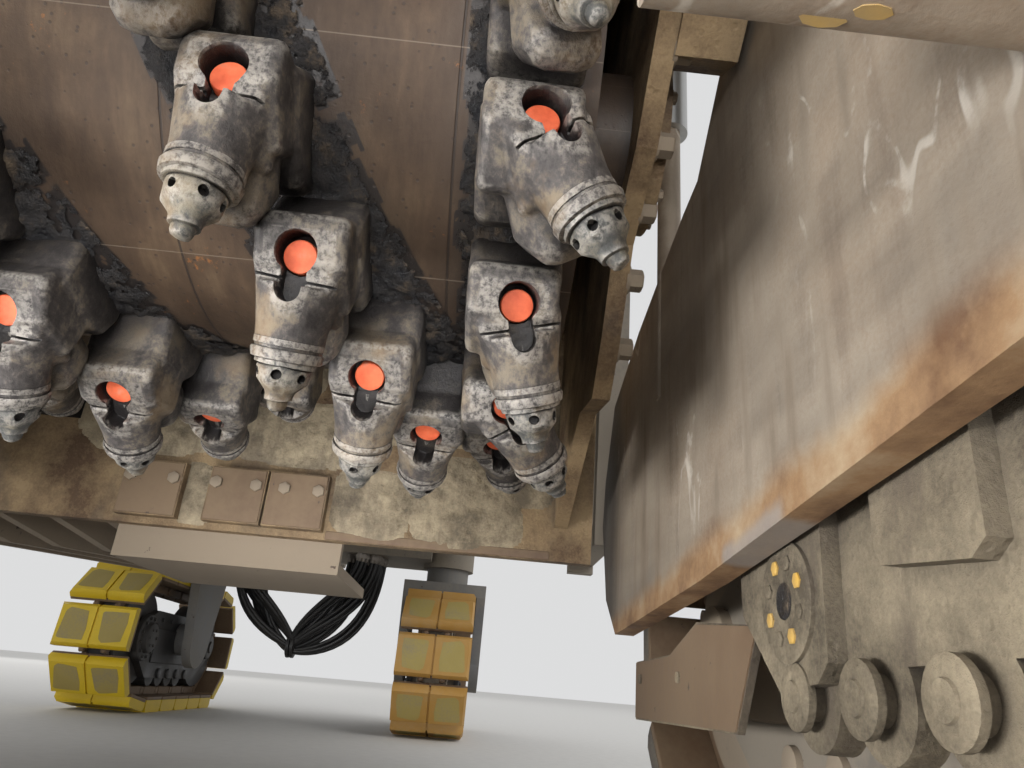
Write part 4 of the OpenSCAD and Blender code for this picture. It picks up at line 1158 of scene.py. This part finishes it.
# %% Drives on the crawlers
def dress_frame(node, body):
    base = crawler_place(node)
    steel = Solid()
    for side in (-1, 1):
        up = side_axis[side]
        face_y = side * 90
        motor = [(-4, 92), (14, 92), (18, 88), (18, 62), (34, 58), (38, 52), (38, 1)]
        steel.turn(motor, on_side(-reach / 2, face_y, end_r, side), 40)
        for k in range(12):
            a = math.radians(30 * k + 15)
            bolt(steel, -reach / 2 + 76 * math.cos(a), side * 108, end_r + 76 * math.sin(a), 7, 8, up)
        for k in range(6):
            a = math.radians(60 * k)
            bolt(steel, -reach / 2 + 34 * math.cos(a), side * 127, end_r + 34 * math.sin(a), 6, 6, up)
        hub = [(-4, 58), (16, 58), (20, 52), (20, 30), (28, 26), (28, 1)]
        steel.turn(hub, on_side(reach / 2, face_y, end_r, side), 32)
        for x in (-250, -150, 150, 250):
            bolt(steel, x, face_y, 365, 9, 8, up)
        for x in (-165, -55, 55, 165):
            steel.turn([(-3, 20), (8, 20), (10, 16)], on_side(x, face_y, 150, side), 20)
        steel.box(-290, 290, side * 88, side * 96, 190, 330, 3)
    add_solid(node + "_drive", steel, "frame_dark" if "front" in node else "worn_steel", base, body)


for corner, (pad_finish, body) in crawlers.items():
    dress_frame(corner + "_track_frame", body)

# %% [markdown]
# The rear crawler's casting shows a round flange with eight bolts, four of them marked yellow, and
# the bosses of its rollers. All of it stays flat, because the side plate slides past it closely.

# %% Flange on the rear casting
def dress_casting(corner):
    base = crawler_place(corner + "_track")
    steel, marks, bore_shade_disc, guard = Solid(), Solid(), Solid(), Solid()
    cap_x, cap_y, cap_z = -80, -194, 292
    for outline in (((18, 279), (87, 180), (350, 179), (350, 263), (221, 296)),
                    ((350, 179), (557, 178), (557, 260), (350, 263))):
        guard.hull([(x, gy, z) for x, z in outline for gy in (-182, -184.5)])
    seat = shift(cap_x, cap_y, cap_z) @ spin("X", 90)
    steel.turn([(-6, 52), (0.6, 52), (1.6, 50), (1.6, 17)], seat, 40)
    # A thin disc in the black crust finish sits in the middle of the flange: painted shade in place of its
    # bore.
    bore_shade_disc.turn([(0.8, 16), (1.9, 16)], seat, 24)
    for k in range(8):
        a = math.radians(45 * k + 20)
        place = shift(cap_x + 33 * math.cos(a), cap_y, cap_z + 33 * math.sin(a)) @ spin("X", 90)
        target = marks if k % 2 else steel
        target.turn([(1, 7), (3.2, 7), (3.9, 5.5)], place, 6)
    for k in range(4):
        place = shift(-85 - 105 * k, -190, 215) @ spin("X", 90)
        steel.turn([(-3, 27), (3, 27), (5, 24), (5, 13), (7, 12)], place, 32)
    for x in (-500, -420, -250, -190, 110):
        bolt(steel, x, -174, 552, 11, 9, "-Y")
    for x in (300, 520):
        bolt(steel, x, -182, 235, 8, 6, "-Y")
    for solid, name, finish_name in ((steel, "flange", "dusty_casting"),
                                     (marks, "marked_bolts", "bolt_yellow"),
                                     (bore_shade_disc, "bore", "greasy_weld"),
                                     (guard, "guard_face", "brown_steel")):
        add_solid(corner + "_" + name, solid, finish_name, base)


dress_casting("rear_left")
dress_casting("rear_right")

# %% [markdown]
# The hoses hang as in CAD, but as smooth tubes, with a few more between them. Each is a curve with
# four handles, and a bell curve pulls its middle to the knot where the bundle is tied.

# %% The route of a hose
front_axle = centre("front_left_track").x
cross_z = 740
knot = Vector((-90, 20, 312))


def hang(x, left, right, drop, sway=0.0):
    """The points of one hanging loop, in millimetres from the front axle."""
    low = cross_z - drop
    handles = [(x, left, cross_z), (x + sway, left, low), (x + sway, right, low), (x, right, cross_z)]
    a, b, c, d = (Vector(p) for p in handles)
    route = []
    for k in range(37):
        t = k / 36
        point = (1 - t) ** 3 * a + 3 * t * (1 - t) ** 2 * b + 3 * t * t * (1 - t) * c + t ** 3 * d
        gather = 0.86 * math.exp(-((t - 0.5) / 0.17) ** 2)
        route.append(point.lerp(knot + Vector((0.12 * x, 0, 0.1 * (430 - drop))), gather))
    return route


def tube(solid, route, r, sides=12):
    """A tube along points; its rings never twist, because one axis stays near x."""
    rings = []
    for k, point in enumerate(route):
        along = (route[min(k + 1, len(route) - 1)] - route[max(k - 1, 0)]).normalized()
        side = Vector((1, 0, 0)) - along * along.x
        side.normalize()
        other = along.cross(side)
        angles = [2 * math.pi * i / sides for i in range(sides)]
        rim = [point + r * (math.cos(a) * side + math.sin(a) * other) for a in angles]
        rings.append([solid.bm.verts.new(p * mm) for p in rim])
    for low, high in zip(rings, rings[1:]):
        for i in range(sides):
            nxt = (i + 1) % sides
            solid.bm.faces.new((low[i], low[nxt], high[nxt], high[i]))
    solid.bm.faces.new(rings[0][::-1])
    solid.bm.faces.new(rings[-1])


# %% [markdown]
# Six loops of three hoses each hang between the sleeves of the front legs. Crimped fittings hold
# them at the cross box, and two ties hold the knot.

# %% Hoses below the cross box
hose_loops = [(-175, 300, -250, 330), (-145, 250, -310, 430), (-115, 330, -200, 520), (-85, 220, -330, 620),
              (-55, 340, -280, 390), (-25, 280, -230, 560)]
black, metal = Solid(), Solid()
for x, left, right, drop in hose_loops:
    for dx, extra, r in ((0, 0, 14), (16, 24, 9), (-14, -30, 9)):
        route = hang(x + dx, left + dx, right - dx, drop + extra, sway=dx * 1.5)
        tube(black, route, r)
        for top in (route[0], route[-1]):
            metal.turn([(0, r + 4), (-34, r + 4), (-38, r + 1)], Matrix.Translation(top))
            metal.turn([(-8, r + 9), (-22, r + 9)], Matrix.Translation(top), 6)
for y in (-7, 12):
    place = Matrix.Translation(knot + Vector((0, y, 0))) @ spin("X", 90)
    black.turn([(-9, 46), (-6, 52), (6, 52), (9, 46)], place, 20)
for solid, name, finish_name, stands_for in ((black, "hose_bundle", "hose_rubber", ["hoses"]),
                                             (metal, "hose_fittings", "tool_steel", ())):
    add_solid(name, solid, finish_name, Matrix.Translation((front_axle, 0, 0)), stands_for=stands_for)

# %% [markdown]
# What sits on the fixed parts of the machine is given in millimetres from the rear crawlers' axis,
# the origin that the CAD model draws in.

# %% Bolts of the drum housing
machine_origin = Matrix.Translation((rear_crawler.x, 0, 0))


def add_fixed(name, solid, finish_name, body="machine"):
    add_solid(name, solid, finish_name, machine_origin, body)


wall = Solid()
for x, z in ((-215, 925), (-130, 868), (-48, 806), (35, 772), (105, 712), (165, 640)):
    place = shift(x, -930, z) @ spin("X", 90)
    wall.turn([(-2, 19), (3, 19)], place, 20)
    wall.turn([(2, 15), (19, 15), (21, 13)], place, 6)
bearing_x, bearing_z, bearing_r = 50, 880, 98
for k in range(10):
    a = math.radians(36 * k)
    bolt(wall, bearing_x + bearing_r * math.cos(a), -948, bearing_z + bearing_r * math.sin(a), 8, 8, "-Y")
for y in (-480, -420, -370, -300, -225, -150):
    bolt(wall, 578, y, 500, 11, 9, "-X")
for y in range(-860, 720, 105):
    bolt(wall, 600, y, 1290, 9, 8, "-X")
add_fixed("housing_bolts", wall, "worn_steel")

# %% [markdown]
# Three bolted wear plates and a wear bar guard the lower edge of the front wall, where the milled
# stone leaves the drum.

# %% Wear plates
plates = Solid()
for y0, y1 in ((-495, -390), (-386, -286), (-240, -135)):
    plates.box(575.5, 578.4, y0 + 2, y1 - 2, 434, 528, 1)
plates.box(598, 601, -900, -500, 421, 436, 1)
add_fixed("wear_plates", plates, "brown_steel")


# %% [markdown]
# Milled dust cakes on the wall in slabs with ragged rims. Each slab is a grid that bulges towards the
# drum and is broken up by noise, like the crust on the tube.

# %% Cakes of dust on the front wall
wall_x = 600.5


def crust_patch(y, z, width, height, seed, step=5):
    """A ragged cake of dust on the back of the front wall."""
    cols, rows = int(width / step), int(height / step)
    points, thick = [], []
    for r in range(rows + 1):
        for c in range(cols + 1):
            u, v = 2 * c / cols - 1, 2 * r / rows - 1
            spot = Vector((c * step * mm, r * step * mm, seed))
            crown = 1 - (u * u * u * u + v * v * v * v) ** 0.5 - 0.35 * noise.noise(spot * 14)
            lumps = 3 * noise.noise(spot * 22) + 3 * noise.fractal(spot * 70, 0.5, 2.2, 4)
            rise = max(0.0, crown) ** 0.4 * (5.5 + lumps)
            thick.append(rise - 1.2)
            points.append((wall_x - rise, y + u * width / 2, z + v * height / 2))
    made = bpy.data.meshes.new("patch")
    made.from_pydata([tuple(Vector(p) * mm) for p in points], [], kept_faces(rows, cols, thick))
    return made


# y and z of the middle, width and height
cakes = [(-262, 480, 60, 120), (-575, 490, 150, 130), (-740, 510, 220, 170), (-850, 640, 110, 260),
         (-420, 610, 270, 130), (-150, 610, 270, 130), (-640, 700, 280, 190), (-300, 780, 330, 200)]
patches = [(crust_patch(*size, 3.1 * k), machine_origin) for k, size in enumerate(cakes)]
add_piece("wall_cakes", copies(patches), "crust_dust", smooth_deg=80)

# %% [markdown]
# The bar behind the side plate has lost its yellow paint except for a few splashes. They are thin
# drops strewn on its underside at random, with a fixed seed.

# %% Paint left on the bar
bar_marks = Solid()
bar_x, bar_z, bar_r = -514, 506, 26.2
random.seed(11)
for k in range(9):
    y = -985 + 19 * k + random.uniform(-4, 4)
    a = math.radians(random.uniform(200, 290))
    x, z = bar_x + bar_r * math.cos(a), bar_z + bar_r * math.sin(a)
    size = random.uniform(4, 11)
    narrow = size * 0.5 * abs(math.sin(a))
    rim = []
    for j in range(8):
        t = j * math.pi / 4
        rim.append((x + narrow * math.cos(t), y + size * math.sin(t), z + 0.6 * math.cos(t)))
    bar_marks.hull(rim + [(px, py, pz + 1.2) for px, py, pz in rim])
add_fixed("bar_paint_marks", bar_marks, "bolt_yellow", "side_plate_right")

# %% [markdown]
# The lids and doors get handles, the deck its controls, the canopy its lamps. Small forms like these
# tell the size of the machine in the views from further away. Each door has a bar handle, a round
# lock and seven slats.

# %% Doors
floor_z = 1730
half_w = 1000


def rail(solid, points, r):
    """A round bar along straight stretches, with a ball-like joint at each bend."""
    for a, b in zip(points, points[1:]):
        a, b = Vector(a), Vector(b)
        turn = (b - a).to_track_quat("Z", "Y").to_matrix().to_4x4()
        solid.turn([(0, r * 0.98), ((b - a).length, r * 0.98)], Matrix.Translation(a) @ turn, 12)
    ball = [(-r, r * 0.3), (-r * 0.7, r * 0.75), (0, r), (r * 0.7, r * 0.75), (r, r * 0.3)]
    for p in points[1:-1]:
        solid.turn(ball, shift(*p), 12)


for s, name in ((1, "left"), (-1, "right")):
    lock = Solid()
    near, far = s * (half_w + 1), s * (half_w + 38)
    rail(lock, [(-1540, near, 1580), (-1540, far, 1580), (-1540, far, 1700), (-1540, near, 1700)], 7)
    lock.turn([(-1, 22), (8, 22), (10, 18)], on_side(-1540, s * half_w, 1500, s), 20)
    for k in range(7):
        z = 1200 + 26 * k
        lock.box(-1430, -1010, s * (half_w - 1), s * (half_w + 6), z, z + 12, 2)
    add_fixed("door_fittings_" + name, lock, "frame_grey", "door_" + name)

# %% [markdown]
# The tanks and boxes of the body are closed by screwed panels. Each is a raised plate with a catch
# and four screws, and a table gives their places on both sides.

# %% Panels of the body
panels, catches = Solid(), Solid()


def side_panel(s, y, x0, x1, z0, z1):
    """A raised panel on a side of the body, with a catch and its screws."""
    middle = (z0 + z1) / 2
    panels.box(x0, x1, s * (y - 2), s * (y + 4), z0, z1, 3)
    catches.box(x1 - 110, x1 - 40, s * (y + 3), s * (y + 7), middle - 16, middle + 16, 3)
    for x in (x0 + 22, x1 - 22):
        for z in (z0 + 22, z1 - 22):
            bolt(catches, x, s * (y + 4), z, 7, 5, side_axis[s])


# how far each panel is set in from the widest side, its reach along x and its reach in height
panel_table = [(0, 925, 1340, 1125, 1630), (0, 1360, 1775, 1030, 1630), (0, 1795, 2210, 1030, 1630),
               (0, 2230, 2600, 1030, 1630), (0, 925, 1500, 1685, 2035), (0, 1520, 2100, 1685, 1975),
               (0, 2120, 2480, 1685, 1925), (60, -520, -200, 1475, 1680), (60, 200, 530, 1475, 1680),
               (60, 550, 880, 1475, 1680), (0, -1630, -1500, 1030, 1180), (0, -960, -790, 1030, 1900)]
for s in (-1, 1):
    for set_in, *reaches in panel_table:
        side_panel(s, half_w - set_in, *reaches)

# %% [markdown]
# The front hood slopes down to the nose. Six lids lie on it, each with a handle, and two round
# fillers stand behind them.

# %% Lids of the front hood
front_hood_z, front_hood_slope = 2100, 0.1
for x0, x1 in ((1120, 1560), (1580, 2020), (2040, 2480)):
    for y0, y1 in ((-960, -20), (20, 960)):
        ends = [front_hood_z - front_hood_slope * (x - 1100) for x in (x0, x1)]
        panels.hull([(x, y, z + dz) for x, z in zip((x0, x1), ends) for y in (y0, y1) for dz in (-2, 4)])
        x, y, z = x1 - 60, (y0 + y1) / 2, ends[1]
        rail(catches, [(x, y - 70, z + 6), (x, y - 70, z + 40), (x, y + 70, z + 40), (x, y + 70, z + 6)], 8)
filler_cap = [(-2, 70), (30, 70), (34, 64), (34, 30), (52, 28), (54, 24)]
for y in (-700, 700):
    catches.turn(filler_cap, shift(1000, y, front_hood_z), 36)
add_fixed("body_panels", panels, "body_white")
add_fixed("body_catches", catches, "frame_grey")

# %% [markdown]
# The engine hood is lifted by two handles, and slanted slats let its warm air out.

# %% Engine hood
hood_parts = Solid()
hood_z = 2008
for y in (-700, 700):
    path = [(y - 60, hood_z), (y - 60, hood_z + 40), (y + 60, hood_z + 40), (y + 60, hood_z)]
    rail(hood_parts, [(-1560, py, pz) for py, pz in path], 8)
for k in range(9):
    x = -1465 + 60 * k
    foot = [(px, y, hood_z + 3) for px in (x - 15, x + 13) for y in (-418, 418)]
    hood_parts.hull(foot + [(x + 10, y, hood_z + 14) for y in (-412, 412)])
add_fixed("hood_handles", hood_parts, "frame_grey", "hood")

# %% [markdown]
# Both sides of the deck have a console with levers, a screen on a short post and a red stop button.
# Thin strips make the floor less slippery.

# %% Controls on the deck
deck, screens, stop_buttons = Solid(), Solid(), Solid()
lever = [(0, 16), (6, 16), (30, 7), (78, 6), (82, 12), (104, 13), (112, 8)]
button = [(0, 9), (20, 9), (22, 22), (32, 22), (36, 16)]
for s in (-1, 1):
    for x in (-500, 0, 500):
        deck.turn([(0, 44), (9, 44), (12, 28), (14, 22)], shift(x, s * (half_w - 40), floor_z), 20)
    deck.box(590, 850, s * 425, s * 835, floor_z - 2, floor_z + 26, 4)
    for y in (500, 560, 700, 760):
        deck.turn(lever, shift(640, s * y, floor_z + 975) @ spin("Y", -18), 14)
    deck.box(700, 716, s * 540, s * 730, floor_z + 1090, floor_z + 1240, 4)
    deck.turn([(0, 12), (80, 12)], shift(735, s * 635, floor_z + 1045) @ spin("Y", -10), 12)
    deck.box(560, 566, s * 470, s * 790, floor_z + 500, floor_z + 900, 2)
    screens.box(696, 701, s * 552, s * 718, floor_z + 1102, floor_z + 1228, 1)
    stop_buttons.turn(button, shift(625, s * 630, floor_z + 955) @ spin("Y", -18), 18)
for k in range(12):
    deck.box(-520, 860, -940 + k * 160, -934 + k * 160, floor_z - 1, floor_z + 4, 1)
add_fixed("deck_controls", deck, "frame_grey")
add_fixed("screens", screens, "seat_vinyl")
add_fixed("stop_buttons", stop_buttons, "orange_cap")

# %% [markdown]
# Work lamps hang under the canopy at its front and back, the nose has two round lamps on each side,
# and small ones mark the corners at the rear. Boxes and lenses are two pieces, because they differ
# in finish.

# %% Lamps
lights, glass = Solid(), Solid()
headlamp = [(0, 36), (6, 36), (9, 26)]
for y in (-860, -300, 300, 860):
    for x, out in ((1052, 1), (-712, -1)):
        lights.box(x - 45, x + 5, y - 55, y + 55, 3535, 3597, 6)
        glass.box(x + out * 5, x + out * 9, y - 45, y + 45, 3545, 3588, 2)
for s in (-1, 1):
    for y in (850, 880, 910, 936):
        glass.turn([(0, 11), (6, 11), (8, 7)], shift(-1715, s * y, 1700) @ spin("Y", -90), 16)
    lights.box(2822, 2830, s * 695, s * 865, 1660, 1750, 4)
    for y in (740, 820):
        glass.turn(headlamp, shift(2829, s * y, 1705) @ spin("Y", 90), 28)
add_fixed("work_lamps", lights, "frame_grey")
add_fixed("lamp_lenses", glass, "lamp_glass")

# %% [markdown]
# The seats are padded. Base and back are blocks with cut edges, wrapped in a smooth skin and crowned.
# The left base is the one that stands for the plain blocks of the CAD model.

# %% Seats
crown_height = 6


def cushion(x0, x1, y0, y1, z0, z1):
    """A rounded block in millimetres, whose upper half is higher in the middle."""
    form = Solid()
    form.box(x0, x1, y0, y1, z0, z1, 30)
    made = cast_skin(form.mesh(), 9, 12)
    for vert in made.vertices:
        x, y, z = vert.co / mm
        side = abs(y - (y0 + y1) / 2) / ((y1 - y0) / 2)
        if z > (z0 + z1) / 2:
            vert.co.z += crown_height * mm * max(0.0, 1 - side ** 2)
    return made


for s, name in ((1, "left"), (-1, "right")):
    y0, y1 = sorted((s * 434, s * 886))
    for part, sizes in (("base", (-176, 276, y0, y1, 2152, 2242)),
                        ("back", (-276, -186, y0 + 18, y1 - 18, 2166, 2874))):
        made = cushion(*sizes)
        made.transform(machine_origin)
        stands_for = ["seats"] if (s, part) == (1, "base") else ()
        title = "seat_" + part + "_" + name
        pad = add_piece(title, made, "seat_vinyl", smooth_deg=70, stands_for=stands_for)
stand = Solid()
pillar = [(0, 110), (14, 110), (20, 62), (300, 60), (302, 46), (424, 46)]
for s in (-1, 1):
    stand.turn(pillar, shift(60, s * 660, floor_z), 32)
    stand.box(-150, 250, s * 470, s * 850, 2136, 2156, 4)
    stand.box(-200, -180, s * 560, s * 760, 2150, 2500, 4)
add_fixed("seat_stands", stand, "frame_grey")

# %% [markdown]
# The belts carry rows of cleats, and their frames show the ends of the rollers. The forms are placed
# along the belt and ride on the conveyor's own body.

# %% Belts and rollers
mouth_c = 110
lift_x, lift_z, lift_angle = 4060, 1240, 20
cleat_pitch, roller_pitch = 190, 400
belt_face, frame_side = 110, 277
roller_end = [(-2, 30), (8, 30), (12, 22), (12, 12), (18, 10)]


def cleat(solid, x, s, up):
    """One slanted rib on a face of the belt: half of an arrow."""
    z = up * belt_face
    foot = [(x + dx, s * y, z) for y, back in ((20, 28), (225, -42)) for dx in (back, back + 22)]
    crest = [(foot[i][0] + (4, -4)[i % 2], foot[i][1], z + up * 16) for i in range(4)]
    solid.hull(foot + crest)


def dress_belt(name, place, x0, x1, body):
    cleats, ends = Solid(), Solid()
    for k in range(int((x1 - x0) / cleat_pitch)):
        for up in (1, -1):
            for s in (-1, 1):
                cleat(cleats, x0 + 60 + k * cleat_pitch, s, up)
    for k in range(int((x1 - x0) / roller_pitch) + 1):
        x = x0 + 120 + k * roller_pitch
        for s in (-1, 1):
            ends.turn(roller_end, on_side(x, s * frame_side, 96, s), 20)
            for dx in (60, -60):
                bolt(ends, x + dx, s * frame_side, -belt_face, 8, 8, side_axis[s])
    for solid, what, finish_name in ((cleats, "cleats", "belt_rubber"), (ends, "roller_ends", "tool_steel")):
        add_solid(name + "_" + what, solid, finish_name, machine_origin @ scaled(place), body)


lower = shift(lift_x, mouth_c, lift_z) @ spin("Y", -lift_angle)
dress_belt("primary", shift(780, mouth_c, 700) @ spin("Y", -18), 0, 3240, "machine")
dress_belt("lower", lower, -180, 3060, "conveyor_lower")
dress_belt("upper", lower @ shift(3200, 0, 0), 140, 2500, "conveyor_upper")

# %% [markdown]
# The floor is plain pale paper.

# %% Floor
def make_floor(size, level):
    material, coords = start("floor_paper", specular=0.2)
    grain = coords.noise(30, 3, 0.5)
    tone = ramp(grain, (0.3, (0.62, 0.61, 0.59)), (0.7, (0.66, 0.65, 0.63)))
    end(material, tone, 0.85, grain, relief=0.0005, strength=0.3)
    mesh = bpy.data.meshes.new("floor")
    half = size / 2
    corners = [(-half, -half, level), (half, -half, level), (half, half, level), (-half, half, level)]
    mesh.from_pydata(corners, [], [(0, 1, 2, 3)])
    mesh.materials.append(material)
    floor = bpy.data.objects.new("floor", mesh)
    bpy.context.scene.collection.objects.link(floor)


make_floor(120, cad_lo.z - 0.001)

# %% [markdown]
# A pale world and a few large soft lamps light the machine. The low lamps stand in for the daylight
# that bright paving throws back up at the drum. They have a narrow spread, so that they leave no
# bright patches on the floor.

# %% Lamps of the studio
def make_lamp(name, place, target, size, power, spread_deg=180):
    data = bpy.data.lights.new(name, "AREA")
    data.spread = math.radians(spread_deg)
    data.shape = "RECTANGLE"
    data.size, data.size_y = size
    data.energy = power
    lamp = bpy.data.objects.new(name, data)
    lamp.visible_camera = False
    bpy.context.scene.collection.objects.link(lamp)
    direction = Vector(target) - Vector(place)
    lamp.matrix_world = Matrix.Translation(place) @ direction.to_track_quat("-Z", "Y").to_matrix().to_4x4()


def make_world(strength):
    world = bpy.data.worlds.new("studio")
    bpy.context.scene.world = world
    world.use_nodes = True
    background = world.node_tree.nodes["Background"]
    background.inputs["Color"].default_value = (0.96, 0.965, 0.97, 1)
    background.inputs["Strength"].default_value = strength


make_world(0.75)
make_lamp("key", (cad_lo.x - 6, -9, 9), (0, 0, 1), (8, 8), 850)
make_lamp("fill", (cad_hi.x + 6, 9, 8), (0, 0, 1), (9, 9), 450)
# name: place and target from the drum's axis, size, power in watts, spread in degrees
low_lamps = {
    "low_behind": ((-3.2, -0.3, -0.70), (0, -0.4, 0.1), (3.0, 0.6), 22, 68),
    "low_left": ((0.0, 2.6, -0.7), (0, 0, 0), (3.5, 0.5), 6, 60),
    "low_side": ((-0.8, 0.35, -0.84), (-0.05, -1.3, -0.42), (1.0, 0.3), 7, 60),
    "low_front": ((0.1, -0.5, -0.84), (0.75, -0.4, -0.45), (0.5, 1.2), 1.6, 60),
}
for name, (place, target, size, power, spread) in low_lamps.items():
    make_lamp(name, drum_axis + Vector(place), drum_axis + Vector(target), size, power, spread)
bpy.context.scene.view_settings.view_transform = "Standard"
print(2 + len(low_lamps), "lamps")
